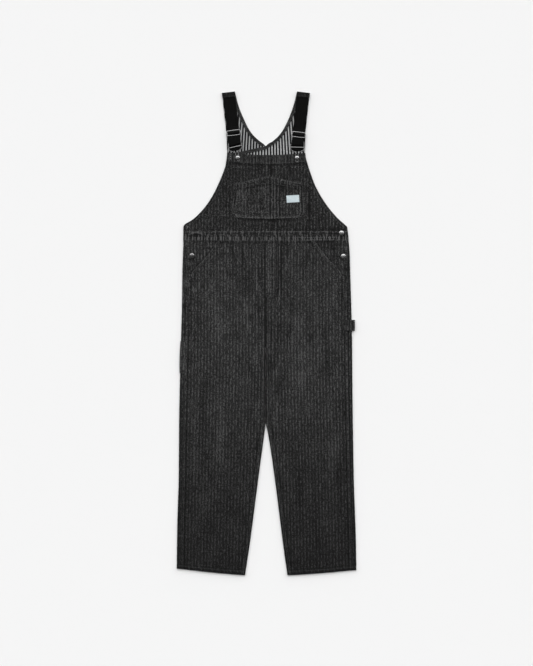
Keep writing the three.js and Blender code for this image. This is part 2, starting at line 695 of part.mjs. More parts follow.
function brace(strap) {
  const run = new THREE.Group();
  run.position.set(strap.topX, strap.topY, 0);
  run.rotation.z = radians(strap.lean);
  garment.add(run);
  const tilt = Math.tan(radians(strap.turn - strap.lean));
  const turnLength = strap.rail - strap.slider - 2 * SLIDER.halfSpan;
  const place = (across, from, z) => {
    const share = ease((from - strap.slider - SLIDER.halfSpan) / turnLength);
    return [across, across * tilt * share - from, z];
  };
  band(`${strap.name}_webbing`, webbing, webLine(strap), WEB.cloth, place, run);

  const slide = new THREE.Group();
  slide.position.set(0, -strap.slider, 0);
  run.add(slide);
  const corner = new THREE.Shape();
  const [a, b, c] = [SLIDER.halfWidth, SLIDER.halfSpan, SLIDER.corner];
  corner.absarc(a - c, b - c, c, 0, Math.PI / 2);
  corner.absarc(-a + c, b - c, c, Math.PI / 2, Math.PI);
  corner.absarc(-a + c, -b + c, c, Math.PI, 1.5 * Math.PI);
  corner.absarc(a - c, -b + c, c, 1.5 * Math.PI, 2 * Math.PI);
  const outline = corner.getPoints(4).map((p) => [p.x, p.y]);
  const line = outline.filter((p, i) => {
    const before = outline[(i + outline.length - 1) % outline.length];
    return Math.hypot(p[0] - before[0], p[1] - before[1]) > 0.1;
  });
  const frame = sweep(flatRing(line, SLIDER.z), wireSection(WIRE, 6), true);
  const bar = crossBar(a, 0, SLIDER.z, WIRE * 0.9, 6);
  solid(`${strap.name}_slider`, steel, joined([frame, bar]), slide);
}

function buckle(strap) {
  const hook = new THREE.Group();
  hook.position.set(strap.buttonX, strap.buttonY - strap.slack, 0);
  hook.rotation.z = radians(strap.turn);
  garment.add(hook);
  const half = BUCKLE_WIRE.map(({ x, y }) => new THREE.Vector3(x, y, 0));
  const mirrored = [...half].reverse().map((p) => new THREE.Vector3(-p.x, p.y, 0));
  const points = [...half, new THREE.Vector3(0, BUCKLE_TIP_Y, 0), ...mirrored];
  const curve = new THREE.CatmullRomCurve3(points, true, 'centripetal');
  const line = curve.getPoints(60).slice(0, -1).map((p) => [p.x, p.y]);
  const wire = sweep(flatRing(line, BUCKLE_Z), wireSection(WIRE, 6), true);
  const rail = crossBar(BUCKLE_WIRE[1].x, RAIL_Y, BUCKLE_Z, WIRE * 0.9, 6);
  solid(`${strap.name}_buckle`, steel, joined([wire, rail]), hook);
  const seat = FRONT_UNDER + CLOTH + HEM_TURNING + GAP;
  button(`button_bib_${strap.name}`, BUTTON.bibRadius, strap.buttonX, strap.buttonY, seat, 2.9);
}

// A tack button, turned in one piece: its shank and its domed head
function button(name, radius, x, y, seat, neck, tilt = 0) {
  const { shank } = BUTTON;
  const head = BUTTON_HEAD.map(([share, rise]) => [radius * share, neck + rise]);
  const profile = [[0, 0], [shank, 0], [shank, neck], ...head].map(([r, z]) => new THREE.Vector2(r, z));
  const geometry = new THREE.LatheGeometry(profile, 14);
  geometry.rotateX(Math.PI / 2 + radians(tilt));
  const mesh = solid(name, steel, geometry);
  mesh.position.set(x, y, seat + shank * Math.sin(radians(tilt)));
}

// Patch pocket that wraps the right side fold, made from the back leg's own points moved out
function rulePocket() {
  const side = SIDES[0];
  const rows = steps(4);
  const angles = [90, 45, 0, -30].map(radians);
  const point = (t, k, reach) => {
    const y = mix(RULE_POCKET.footY, RULE_POCKET.topY, t);
    const out = reach + RULE_POCKET.flare * t * t;
    const start = outerX(side, y) - side.dir * FOLD_REACH;
    const height = frontTop(start, y);
    if (k < 2) {
      const x = mix(seamX(side, y) + side.dir * RULE_POCKET.clear, start, k / 2);
      return [x, y, frontTop(x, y) + out];
    }
    const angle = angles[k - 2];
    const x = start + side.dir * (FOLD_REACH + out) * Math.cos(angle);
    return [x, y, height / 2 + (height / 2 + out) * Math.sin(angle)];
  };
  const grid = (reach) => rows.map((t) => [0, 1, 2, 3, 4, 5].map((k) => point(t, k, reach)));
  wall('rule_pocket', denim, grid(LAYER), grid(GAP));
}

// Strap loop sewn in the left side seam, bowing out past the fold and back to the floor
function hammerLoop() {
  const { y, height, start, reach, cloth, clear } = HAMMER_LOOP;
  const side = SIDES[1];
  const top = frontTop(start, y) + clear + cloth / 2;
  const low = cloth / 2;
  const radius = (top - low) / 2;
  const bend = reach - radius - cloth / 2;
  const fold = outerX(side, y) + 2 * clear;
  const round = steps(6).slice(1).map((t) => (
    [bend + radius * Math.sin(Math.PI * t), low + radius + radius * Math.cos(Math.PI * t)]
  ));
  const line = [[start, top], [mix(start, bend, 0.5), top], [bend, top], ...round];
  if (fold < bend) line.push([fold, low]);
  const rows = line.map(([from, z]) => ({ from, z, half: height / 2 }));
  band('hammer_loop', denim, rows, cloth, (across, from, z) => [from, y + across, z]);
}

for (const side of SIDES) {
  backLeg(side);
  frontLeg(side);
  hipFacing(side);
  backBib(side);
  neckFacing(side);
}
waistband();
bib();
chestPocket();
label();
for (const strap of BRACES) {
  brace(strap);
  buckle(strap);
}
for (const { name, x, y, on, tilt } of SIDE_BUTTONS) {
  const side = SIDES[x < 0 ? 0 : 1];
  const seat = on === 'band' ? bandUnder(x, y) + BAND_CLOTH : facingUnder(side, x, y) + CLOTH;
  button(name, BUTTON.sideRadius, x, y, seat + GAP, 1.2, tilt);
}
rulePocket();
hammerLoop();

export default garment;
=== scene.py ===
"""Black denim bib dungarees, laid flat on a pale floor with their straps fastened.

Sizes are in millimetres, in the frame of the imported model, and become metres when a mesh is made.
X runs across with the wearer's left at +X, Y runs from the hems to the shoulders, Z is up.
"""

from collections import namedtuple
import math

import bpy
import numpy as np
from mathutils import Matrix


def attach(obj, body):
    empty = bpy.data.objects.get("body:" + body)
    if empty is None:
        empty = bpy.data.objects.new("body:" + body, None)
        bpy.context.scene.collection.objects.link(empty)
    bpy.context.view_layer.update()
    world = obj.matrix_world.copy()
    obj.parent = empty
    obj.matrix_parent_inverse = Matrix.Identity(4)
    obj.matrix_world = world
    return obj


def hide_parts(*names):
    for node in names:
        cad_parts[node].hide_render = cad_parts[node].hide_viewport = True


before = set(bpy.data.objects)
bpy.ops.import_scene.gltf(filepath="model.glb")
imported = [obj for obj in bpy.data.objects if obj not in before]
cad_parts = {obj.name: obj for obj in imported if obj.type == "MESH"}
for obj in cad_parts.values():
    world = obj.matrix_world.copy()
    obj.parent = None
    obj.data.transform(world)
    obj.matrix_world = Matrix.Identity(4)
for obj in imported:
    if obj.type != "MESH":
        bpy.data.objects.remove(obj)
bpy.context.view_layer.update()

MM = 0.001

# Camera, straight above the garment
PHOTO_TALL_PIXELS = 666
MM_PER_PIXEL = 3.0
VIEW_MIDDLE = (0.0, 1.2, 4.0)
LENS, SENSOR = 110.0, 36.0

# Cloth and layers
CLOTH = 1.2
GAP = 0.3
LAYER = CLOTH + GAP
FRONT_UNDER = 3.2
LOWEST_FRONT = 1.9
FOLD_REACH = 3.5
HEM_TURNING = 0.8
BAND_CLOTH = 2.4

# Heights of the seams
WAIST_Y = 279.0
BAND_HEIGHT = 27.0
BIB_FOOT_Y = WAIST_Y + BAND_HEIGHT + 2 * GAP
POCKET_FOOT_Y = 166.0
CROTCH_Y = -47.0
CROTCH_TURN = 24.0
HEM_START_Y = -290.0
HEM_MIDDLE_Y = -715.0
SPLIT_Y = -262.0
HEM_DEPTH = 12.0
HEM_BOW = 1.8
BIB_TOP = {"right": 543.0, "left": 541.5, "dip": 7.5}

# How far a leg's grain leans for each millimetre down, and the height from which it does
GRAIN_LEAN, LEAN_START_Y = 0.018, -60.0

# Turns a distance along X into one square to the slanted edge of a pocket mouth
MOUTH_SLANT = 0.72

FLY = {"width": 46, "foot": 112, "lift": 1.2, "centre": -4, "curve_y": 142}
POCKET_UNDERLAP = 8.0
SIDE_DROP = {"depth": 1.4, "reach": 18}

# The garment's two sides: the wearer's right is at -X and the left at +X
Side = namedtuple("Side", "name sign hem_outer hem_inner")
RIGHT = Side("right", -1, -706.0, -724.6)
LEFT = Side("left", 1, -710.0, -724.8)
SIDES = (RIGHT, LEFT)


def table(columns, rows):
    """Rows of numbers as a dictionary of named columns."""
    return {name: np.array(values, float) for name, values in zip(columns.split(), zip(*rows))}


# Folded outer edge of the flattened trouser part, at each height
OUTER_EDGE = table("y right left", [
    (-710, -269.4, 269.7),
    (-620, -268.5, 268.2),
    (-530, -266.4, 265.2),
    (-440, -263.4, 262.0),
    (-270, -262.2, 259.2),
    (-125, -259.4, 257.5),
    (-20, -256.6, 256.8),
    (88, -253.5, 254.1),
    (184, -252.3, 251.1),
    (232, -250.8, 249.8),
    (279, -249.4, 246.4),
    (320, -249.2, 242.2),
])

# Inner edge: the inseam fold below the crotch, the centre seams above it
INNER_EDGE = table("y right left", [
    (-725, -64.2, 62.6),
    (-620, -48.6, 48.2),
    (-500, -33.0, 33.2),
    (-440, -25.2, 25.2),
    (-380, -17.2, 17.1),
    (-320, -9.0, 7.8),
    (-290, -5.2, 2.4),
    (-268, -2.7, -2.2),
    (CROTCH_Y, -3.2, -2.8),
    (279, -4.2, -3.8),
])

# How far in from the folded edge the side seam lies, and the pocket mouth from the seam
SIDE_SEAM = table("y seam mouth", [
    (-710, 20, 0),
    (-450, 19, 0),
    (-125, 21, 0),
    (90, 22, 0),
    (POCKET_FOOT_Y, 24, 0),
    (186, 20, 11),
    (217, 13, 46),
    (248, 11, 73),
    (279, 11, 92),
])

# Armhole outline of the bib
BIB_EDGE = table("y right left", [
    (BIB_FOOT_Y, -249.3, 243.4),
    (319, -249.0, 241.8),
    (326, -246.0, 235.0),
    (340, -223.8, 219.3),
    (355, -206.1, 204.6),
    (385, -179.7, 180.3),
    (415, -160.5, 160.8),
    (445, -145.5, 145.2),
    (475, -132.6, 133.8),
    (505, -122.6, 124.0),
    (532, -118.6, 117.0),
    (548, -117.9, 115.8),
])

# Outer edge of each back strap above the bib, and the V neck with its crossed tails below
STRAP_EDGE = table("y right left", [
    (548, -117.9, 115.8),
    (595, -120.3, 116.7),
    (649, -125.7, 121.8),
    (722, -133.7, 130.0),
])
NECK_EDGE = table("y right left", [
    (279, 41.0, -47.0),
    (541, 66.0, -98.0),
    (547.2, 45.9, -69.5),
    (556.6, 15.5, -25.9),
    (562, -2.0, -2.2),
    (568, -8.4, 4.0),
    (577, -20.7, 19.0),
    (595, -40.2, 38.4),
    (613, -53.4, 51.2),
    (649, -70.8, 68.7),
    (685, -84.9, 81.6),
    (722, -94.4, 91.2),
])
NECK_POINT_Y = 562.0

# A back half's stripes fan out from this far above the neck point, and are moved this far across
STRIPE_FAN = {"reach": 1130, "right": 43.2, "left": 1.0}

# Height where a strap's rows start to turn in line with its end, and the left half's climb over the right
STRAP_TURN_Y = 640
CROSSING_LIFT = 1.55
CROSSING_RAMP = 12.0

# Main folds of the front, each a soft trough or ridge round a line through x, y
CREASES = table("x y half lean width depth", [
    (41, 190, 76, 0.06, 6, -1.1),
    (-73, 222, 56, -0.04, 6, -0.8),
    (-20, 168, 52, -0.08, 5, -0.8),
    (-29, 150, 60, -0.1, 6, 0.7),
    (24, 40, 90, 0.02, 8, 0.9),
    (-190, -215, 120, 0.02, 11, -0.8),
    (-140, -300, 150, 0.05, 16, 1.0),
    (98, -470, 120, -0.06, 11, -0.9),
    (104, -110, 120, 0.05, 20, 1.1),
    (192, -330, 170, -0.03, 14, 0.9),
    (24, -262, 62, -0.45, 8, 0.8),
    (-150, 60, 130, -0.03, 18, 0.9),
    (1, 505, 44, -0.05, 8, 0.9),
    (33, 503, 44, 0.05, 9, 0.8),
    (126, 385, 72, 0.0, 6, -0.9),
    (-97, 330, 40, -0.25, 6, -0.8),
    (-2, 388, 90, 0.02, 12, 0.5),
])

# Smaller creases between the main folds
FINE_CREASES = table("x y half lean width depth", [
    (-46, 246, 34, -0.10, 3.2, -0.55),
    (-62, 236, 40, -0.16, 2.6, 0.4),
    (-100, 240, 36, -0.22, 3.5, -0.4),
    (-121, 232, 42, -0.3, 3.5, 0.35),
    (56, 214, 62, 0.03, 3.0, 0.45),
    (48, 236, 40, 0.02, 2.4, -0.5),
    (66, 246, 30, 0.05, 3.0, -0.35),
    (122, 224, 46, 0.1, 4.0, -0.4),
    (150, 180, 60, 0.14, 5.0, 0.4),
    (-13, 196, 60, -0.03, 2.4, -0.5),
    (-24, 70, 70, -0.08, 5.0, -0.5),
    (-60, 60, 110, -0.1, 7.0, 0.45),
    (70, 30, 110, 0.08, 7.0, -0.45),
    (14, -8, 56, 0.1, 4.5, -0.55),
    (-34, -70, 60, -0.38, 5.0, 0.5),
    (-48, -110, 70, -0.42, 5.0, -0.45),
    (34, -100, 70, 0.4, 5.0, 0.5),
    (48, -140, 66, 0.45, 5.0, -0.45),
    (30, -235, 55, 0.1, 4.0, 0.5),
    (15, -300, 60, -0.05, 4.0, -0.5),
    (-26, -330, 70, 0.12, 5.0, -0.45),
    (-100, -160, 120, 0.05, 9.0, 0.25),
    (-215, -330, 130, 0.0, 8.0, 0.4),
    (-120, -520, 140, 0.06, 10.0, -0.2),
    (-200, -560, 110, 0.03, 7.0, 0.15),
    (-90, -610, 90, 0.1, 6.0, 0.4),
    (150, -590, 110, -0.08, 8.0, -0.45),
    (220, -480, 130, -0.02, 8.0, -0.4),
    (180, -60, 110, -0.03, 8.0, -0.45),
    (-205, 40, 90, 0.03, 7.0, -0.4),
    (205, 120, 60, 0.1, 6.0, 0.4),
    (118, 388, 84, 0.0, 3.0, 0.5),
    (136, 372, 60, -0.02, 3.0, 0.35),
    (-122, 400, 60, 0.05, 5.0, -0.4),
    (-70, 488, 26, 0.1, 4.0, -0.4),
    (70, 486, 26, -0.1, 4.0, -0.35),
    (-150, 345, 26, -0.6, 5.0, -0.45),
    (165, 345, 30, 0.7, 6.0, -0.45),
    (-60, 324, 15, 0.1, 4.0, 0.4),
    (40, 326, 16, -0.1, 4.0, 0.35),
])

# Lighter and darker streaks, which have no relief of their own: some rubbed wear, others painted light and
# shade such as crease shading and the shadow under the chest pocket
STREAKS = table("x y half lean width depth", [
    (13, 489, 28, 0.0, 4.0, -1.1),
    (2, 489, 26, 0.0, 2.5, 0.5),
    # painted shadow under the chest pocket's foot
    (4, 339.5, 5, 0.0, 78.0, -1.2),
    (0, 322, 16, 0.0, 120.0, -0.35),
    (-63, 157, 70, 0.0, 18.0, -0.35),
    (111, 395, 60, 0.0, 1.8, 0.5),
    (117, 390, 84, 0.0, 1.8, -0.7),
    (121.5, 388, 84, 0.0, 2.0, 0.7),
    (126.5, 385, 90, 0.0, 2.2, -1.5),
    (134, 384, 70, 0.0, 2.6, -0.7),
    (49, 437, 22, 0.0, 6.0, -1.2),
    (-14, 388, 32, -0.15, 5.0, -0.7),
    (-111, 402, 50, 0.0, 2.0, -0.9),
    (-93, 406, 48, 0.0, 1.8, -1.1),
    (-88, 406, 48, 0.0, 2.0, 0.6),
    (-37, 410, 60, 0.0, 2.0, 0.5),
    (-41.5, 408, 60, 0.0, 2.0, -0.6),
    (20, 322, 30, 0.0, 1.8, -0.9),
    (27, 322, 30, 0.0, 1.8, 0.6),
    # painted shade and highlight of diagonal creases
    (-99, 239, 38, -0.25, 2.4, -1.0),
    (-118, 251, 26, -0.4, 2.4, 0.9),
    (-71, 240, 42, -0.12, 3.0, -1.0),
    (-82, 213, 42, -0.1, 2.5, 0.6),
    (-236, 196, 8, 0.0, 9.0, -1.0),
    (-228, 208, 10, 0.5, 4.0, 0.5),
    (238, 197, 18, -0.4, 4.0, -1.1),
    (228, 206, 14, -0.5, 3.0, 0.5),
    (244, 117, 4, 0.0, 7.0, -1.2),
    (-170, 262, 4.5, 0.0, 16.0, 0.7),
    (-168, 255.5, 3.5, 0.0, 15.0, -0.9),
    (-172, 249, 4.0, 0.0, 14.0, 0.6),
    (201, 254, 13, -0.5, 5.0, -0.9),
    (123, 274, 5, 0.0, 12.0, -0.8),
    (-133, 274, 6, 0.0, 6.0, -1.0),
    (3, 118, 6, 0.0, 5.0, -1.3),
    (31, 112, 42, 0.1, 2.4, -1.0),
    (36, 106, 32, 0.1, 2.0, 0.7),
    (34, 82, 46, -0.1, 3.2, 0.6),
    (17, -83, 40, 0.04, 2.2, 0.8),
    (7.5, -50, 7, 0.0, 2.0, 1.2),
    (-1, 20, 110, 0.0, 2.0, -0.7),
    (-1.5, -150, 130, 0.0, 1.8, -0.8),
    (-226, -28, 42, 0.0, 2.6, 0.8),
    (-255, 10, 26, 0.0, 1.6, -1.4),
    (-200, 160, 70, 0.05, 4.0, 0.4),
    (150, 60, 90, -0.05, 5.0, 0.35),
    (-240, 150, 24, 0.0, 10.0, 1.2),
    (-224, 223, 9, 0.0, 9.0, -0.9),
    (-73, 424, 34, 0.0, 12.0, 0.7),
    (64, 447, 7, 0.0, 26.0, 0.5),
    (206, 312, 13, 0.0, 16.0, -1.3),
    (172, 314, 10, 0.0, 11.0, -0.7),
    (30, 20, 150, -0.03, 20.0, -0.5),
    (61, 262, 66, 0.0, 5.0, -0.7),
    (-58, 226, 28, 0.0, 8.0, -0.4),
    (104, 34, 55, 0.0, 12.0, 0.45),
    (-88, -35, 34, 0.0, 28.0, 0.3),
    (57, -668, 34, 0.0, 9.0, -0.9),
    (-149, -275, 66, 0.05, 12.0, -0.5),
    (189, -295, 60, 0.0, 12.0, -0.7),
    (12, -95, 45, 0.0, 15.0, -0.8),
    (74, -688, 16, 0.0, 13.0, -0.9),
    (190, 274, 36, 0.0, 22.0, -0.65),
    (-241, 82, 12, 0.0, 8.0, -0.9),
    (-218, 130, 20, 0.0, 8.0, 0.9),
    (-243, -14, 14, 0.0, 8.0, 0.8),
    (70, 46, 28, 0.0, 14.0, 0.6),
    (-26, -235, 50, 0.03, 9.0, 0.6),
    (-75, 405, 34, 0.0, 24.0, 0.45),
    (-145, 140, 32, 0.0, 11.0, -0.6),
    (-49, 46, 24, 0.0, 11.0, -0.6),
    (104, -95, 22, 0.0, 16.0, -0.6),
    (167, 372, 14, 0.0, 12.0, -0.6),
    (88, -560, 44, -0.06, 9.0, 0.4),
])

# Lines of wear and painted light and shade in the cloth as (centre x, width, strength): painted highlight on
# the fly's stitched ridges, painted shade in the grooves between them, and both along the stitched channels
# of the chest pocket
FLY_RIDGES = ((6, 1.3, 2.0), (13.5, 1.8, 1.2), (22.5, 2.2, 1.0), (39, 1.5, 0.7))
FLY_GROOVES = (
    (-6, 1.6, 0.9), (9.5, 1.2, 0.6), (18, 1.4, 1.0), (28.5, 2.0, 0.9), (35.8, 1.3, 0.9), (45, 1.7, 0.9),
)
POCKET_LINES = (
    (11.8, 1.6, -1.1), (16.8, 1.6, 0.9), (20.7, 1.6, -0.9), (24.4, 1.6, 1.1), (30, 1.6, -0.9),
    (34.6, 1.6, 0.9), (39.4, 1.6, -1.1),
)

# Slits beside the side buttons, painted dark as the shade inside them, and the arched fold at the
# waistband's right end
SLITS = table("x y half_width half_height", [
    (204, 298.4, 14.0, 2.2),
    (216, 231.0, 8.0, 1.7),
])
ARCH = {"x": -212, "y": 294.5, "half_width": 14.5, "half_height": 5.5}

# Chest pocket, its label, and the dent of the pencil opening
POCKET = {
    "width": 205, "height": 112,
    "foot": 343.5, "side_foot": 348.5, "side_top": 452, "peak": 471, "peak_share": 0.46,
    "left": 112.2, "right": -105, "top_left": 108, "top_right": -89.4, "corner": 21, "corner_y": 370,
}
PENCIL_DENT = table("x y half lean width depth", [(48, 446, 26, -0.1, 9, -0.5)])
POCKET_DIVIDER = (17.7, 26.6)
LABEL = {"x": 79.2, "y": 403.5, "width": 37.8, "height": 21.4, "turn": 3.5, "cloth": 1.0}

# Straps: elastic webbing, slider, wire buckle and the bib's button
WEB = {"half": 18, "cloth": 1.6, "under": 3.1, "start": 4.5}
WIRE = 1.1
SLIDER = {"half_span": 6.9, "half_width": 20.2, "z": 8.0, "corner": 3}
BUCKLE_Z = 6.7
RAIL_Y = 34.4
RAIL_SPACING = 8.6
BRACES = [
    {
        "side": RIGHT, "top": (-114.0, 723.0), "lean": 7.0, "slider": 122.5, "rail": 164.4,
        "button": (-86.1, 526.3), "turn": 13.1, "slack": 0.0,
    },
    {
        "side": LEFT, "top": (110.6, 723.0), "lean": -6.3, "slider": 127.9, "rail": 165.7,
        "button": (91.5, 526.0), "turn": -1.6, "slack": 2.1,
    },
]
WEB_FOLD = table("from z half", [
    (-13.6, 8.8, 18),
    (-9.0, 8.95, 18),
    (-7.8, 8.8, 18),
    (-6.2, 7.9, 18),
    (-4.3, 6.6, 18),
    (-2.4, 5.3, 18),
    (-0.8, 4.5, 18),
    (2.0, 4.3, 17.8),
    (6.0, 4.3, 16.6),
    (8.6, 4.3, 14.2),
    (9.9, 4.1, 11.6),
    (10.4, 3.3, 10.8),
    (9.9, 2.5, 11.6),
    (8.6, 2.3, 14.2),
    (6.0, 2.3, 16.6),
    (2.0, 2.3, 17.8),
])
TAB = {"outer": 721.6, "inner": 726.0, "radius": 3.1, "length": 15, "girth": 9.7}
NECK_FACING = {
    "width": 9.0, "top": 719.0,
    "right": {"end": 563.4, "slant": 5.6, "climb": 0.0},
    "left": {"end": 540.8, "slant": 2.5, "climb": 0.45},
}

# Right half of the buckle wire, from the hidden top rail down to the tip under the button
BUCKLE_WIRE = table("x y", [
    (18.2, RAIL_Y + RAIL_SPACING),
    (20.4, RAIL_Y + RAIL_SPACING - 2.2),
    (20.4, RAIL_Y),
    (18.6, 26.5),
    (13.5, 22.4),
    (7.6, 20.2),
    (4.6, 15.5),
    (4.2, 8.0),
    (4.9, 0.0),
    (4.6, -5.6),
    (2.6, -9.4),
])
BUCKLE_TIP_Y = -10.6

BUTTON = {
    "bib_radius": 6.8, "bib_neck": 3.2, "bib_tilt": 7, "side_radius": 7.7, "side_neck": 1.5,
    "shank": 2.6, "neck": 1.2,
}
SIDE_BUTTONS = [
    {"name": "button_side_right", "x": -223.5, "y": 233.0, "on": "facing", "tilt": 14},
    {"name": "button_side_left_upper", "x": 225.0, "y": 300.6, "on": "band", "tilt": 6},
    {"name": "button_side_left_lower", "x": 230.4, "y": 231.0, "on": "facing", "tilt": 6},
]

RULE_POCKET = {"top": -23, "foot": -119, "clear": 5, "flare": 1.3, "off_floor": 0.05}
HAMMER_LOOP = {"y": 24.3, "height": 32, "start": 234, "reach": 265.2, "sewn_to": 259, "cloth": 2.0}

# Sewing
STITCH = {"pitch": 3.1, "length": 2.5, "radius": 0.3, "sunk": 0.12}
SEAM_RIDGE = 8.0
FELL = {"width": 12.5, "raise": 0.5}


# Small helpers, all of them good for arrays

def mix(a, b, t):
    return a + (b - a) * t


def clamp(t):
    return np.clip(t, 0.0, 1.0)


def ease(t):
    t = clamp(t)
    return t * t * (3 - 2 * t)


def hump(distance, centre, width):
    """A soft line along distance = centre, 1 high."""
    return np.exp(-(((distance - centre) / width) ** 2))


def lines(distance, *rows):
    """Soft lines of (centre, width, strength) side by side, added up."""
    return sum(strength * hump(distance, centre, width) for centre, width, strength in rows)


def unit(vectors):
    return vectors / np.maximum(np.linalg.norm(vectors, axis=-1, keepdims=True), 1e-9)


def turned(centre, degrees, across, up):
    """X and y of points given across and up from a centre, and turned about it."""
    turn = math.radians(degrees)
    x = centre[0] + across * math.cos(turn) - up * math.sin(turn)
    return x, centre[1] + across * math.sin(turn) + up * math.cos(turn)


def at(rows, column, y):
    """A column of a table, read at y along a smooth curve that never overshoots its rows."""
    ys, values = rows["y"], rows[column]
    y = np.asarray(y, float)
    spans = np.diff(ys)
    slopes = np.diff(values) / spans
    product, total = slopes[:-1] * slopes[1:], slopes[:-1] + slopes[1:]
    inner = np.where(product > 0, 2 * product / np.where(total == 0, 1, total), 0)
    tangents = np.concatenate([slopes[:1], inner, slopes[-1:]])
    k = np.clip(np.searchsorted(ys, y) - 1, 0, len(spans) - 1)
    t = (y - ys[k]) / spans[k]
    held = (2 * t**3 - 3 * t**2 + 1) * values[k] + (3 * t**2 - 2 * t**3) * values[k + 1]
    bent = (t**3 - 2 * t**2 + t) * tangents[k] + (t**3 - t**2) * tangents[k + 1]
    inside = held + spans[k] * bent
    below = values[0] + slopes[0] * (y - ys[0])
    above = values[-1] + slopes[-1] * (y - ys[-1])
    return np.where(y <= ys[0], below, np.where(y >= ys[-1], above, inside))


def at_slope(rows, column, y):
    """How fast a column changes with y."""
    return at(rows, column, y + 0.5) - at(rows, column, y - 0.5)


def beside(rows, side, y, away):
    """Points at a distance square to an edge, further from the middle where away is above 0."""
    slope = at_slope(rows, side.name, y)
    reach = side.sign * away / np.sqrt(1 + slope**2)
    return at(rows, side.name, y) + reach, y - reach * slope


def creased(rows, x, y):
    """Height that a table of creases adds at each point."""
    height = np.zeros(np.broadcast(x, y).shape)
    for cx, cy, half, lean, width, depth in zip(*rows.values()):
        along = np.minimum(1.0, np.abs(y - cy) / half)
        across = (x - cx - lean * (y - cy)) / width
        height = height + depth * np.exp(-across * across) * (1 - along * along) ** 2
    return height


def wave_set(seed, count, across, along):
    """Random long waves, mostly across the grain: wave numbers, phases and strengths."""
    random = np.random.default_rng(seed)
    kx = 2 * math.pi / random.uniform(*across, count) * random.choice([-1, 1], count)
    ky = 2 * math.pi / random.uniform(*along, count)
    return kx, ky, random.uniform(0, 2 * math.pi, count), random.uniform(0.5, 1.0, count)


SOFT_WAVES = wave_set(11, 9, (26, 80), (160, 520))
TIGHT_WAVES = wave_set(29, 9, (7, 18), (40, 130))


def waves(wave, x, y):
    """Sum of a set of waves at each point, about -1 to 1."""
    kx, ky, phase, strength = wave
    total = sum(s * np.sin(a * x + b * y + p) for a, b, p, s in zip(kx, ky, phase, strength))
    return total / (0.6 * len(kx))


def pucker(along, pitch, seed):
    """An uneven run of small gathers along a seam, from about -1 to 1."""
    t = 2 * math.pi * along / pitch
    main = 0.6 * np.sin(t + 1.4 * np.sin(0.31 * t + seed))
    return main + 0.3 * np.sin(0.43 * t + 2.1 * seed) + 0.3 * np.sin(1.7 * t + 3.3 * seed)


# Outlines

def outer_x(side, y):
    return at(OUTER_EDGE, side.name, y)


def inner_x(side, y):
    return at(INNER_EDGE, side.name, y)


def seam_x(side, y):
    return outer_x(side, y) - side.sign * at(SIDE_SEAM, "seam", y)


def front_x(side, y):
    return seam_x(side, y) - side.sign * at(SIDE_SEAM, "mouth", y)


def bib_x(side, y):
    return at(BIB_EDGE, side.name, y)


def bib_top_y(share):
    return mix(BIB_TOP["right"], BIB_TOP["left"], share) - BIB_TOP["dip"] * np.sin(math.pi * share)


def neck_x(side, y):
    return at(NECK_EDGE, side.name, y)


def hem_at(side, share):
    """Height of the slanted, slightly bowed hem line at a share across."""
    return mix(side.hem_outer, side.hem_inner, share) - HEM_BOW * np.sin(math.pi * clamp(share))


def hem_y(side, x):
    """Height of the hem line at x."""
    outer, inner = outer_x(side, HEM_MIDDLE_Y), inner_x(side, HEM_MIDDLE_Y)
    return hem_at(side, (x - outer) / (inner - outer))


# Surfaces: each gives the height of the cloth's face and its wear with painted light and shade, lighter
# above 0, darker below

def fly_lift(x, y):
    inside = ease((FLY["width"] - (x - FLY["centre"])) / 6) * ease((y - FLY["foot"]) / 26)
    return np.where(x < FLY["centre"], 0, FLY["lift"] * inside)


def relief(x, y):
    """Creases and soft waves of cloth that lies flat, with the painted light and shade that follow them:
    troughs darker, ridges lighter, partly from rubbing.
    """
    main = creased(CREASES, x, y)
    fine = creased(FINE_CREASES, x, y)
    soft = 0.16 * waves(SOFT_WAVES, x, y)
    tight = 0.05 * waves(TIGHT_WAVES, x, y)
    # Painted crease shading: troughs darker, ridges lighter, partly rubbed wear on the ridges, with the
    # streaks on top
    wear_and_shade = 0.6 * main + 1.1 * fine + 0.5 * soft + 1.8 * tight + creased(STREAKS, x, y)
    return main, fine + soft + tight, wear_and_shade


def slit(x, y):
    """1 inside a buttonhole's slit, 0 outside."""
    inside = np.zeros(np.broadcast(x, y).shape)
    for cx, cy, half_width, half_height in zip(*SLITS.values()):
        away = np.sqrt(((x - cx) / half_width) ** 2 + ((y - cy) / half_height) ** 2)
        inside = inside + ease((1.3 - away) / 0.6)
    return inside


def arched_fold(x, y):
    """Height of the arched fold at the waistband's right end, with painted highlight on the arch and painted
    shade in its hollow.
    """
    across, up = (x - ARCH["x"]) / ARCH["half_width"], (y - ARCH["y"]) / ARCH["half_height"]
    away = np.sqrt(across**2 + up**2)
    hollow = ease((1.15 - away) / 0.5)
    arch = hump(away, 1.35, 0.3) * ease((up + 0.2) / 0.5)
    return 0.6 * arch - 0.5 * hollow, 1.5 * arch - 1.4 * hollow


def waist_gather(x, y):
    """The small gathers of cloth that is sewn into the waist seam."""
    return pucker(x, 9.4, 1.0) * hump(y, WAIST_Y, 9)


def hem_turning(from_hem):
    return HEM_TURNING * ease((HEM_DEPTH + 0.6 - from_hem) / 1.4)


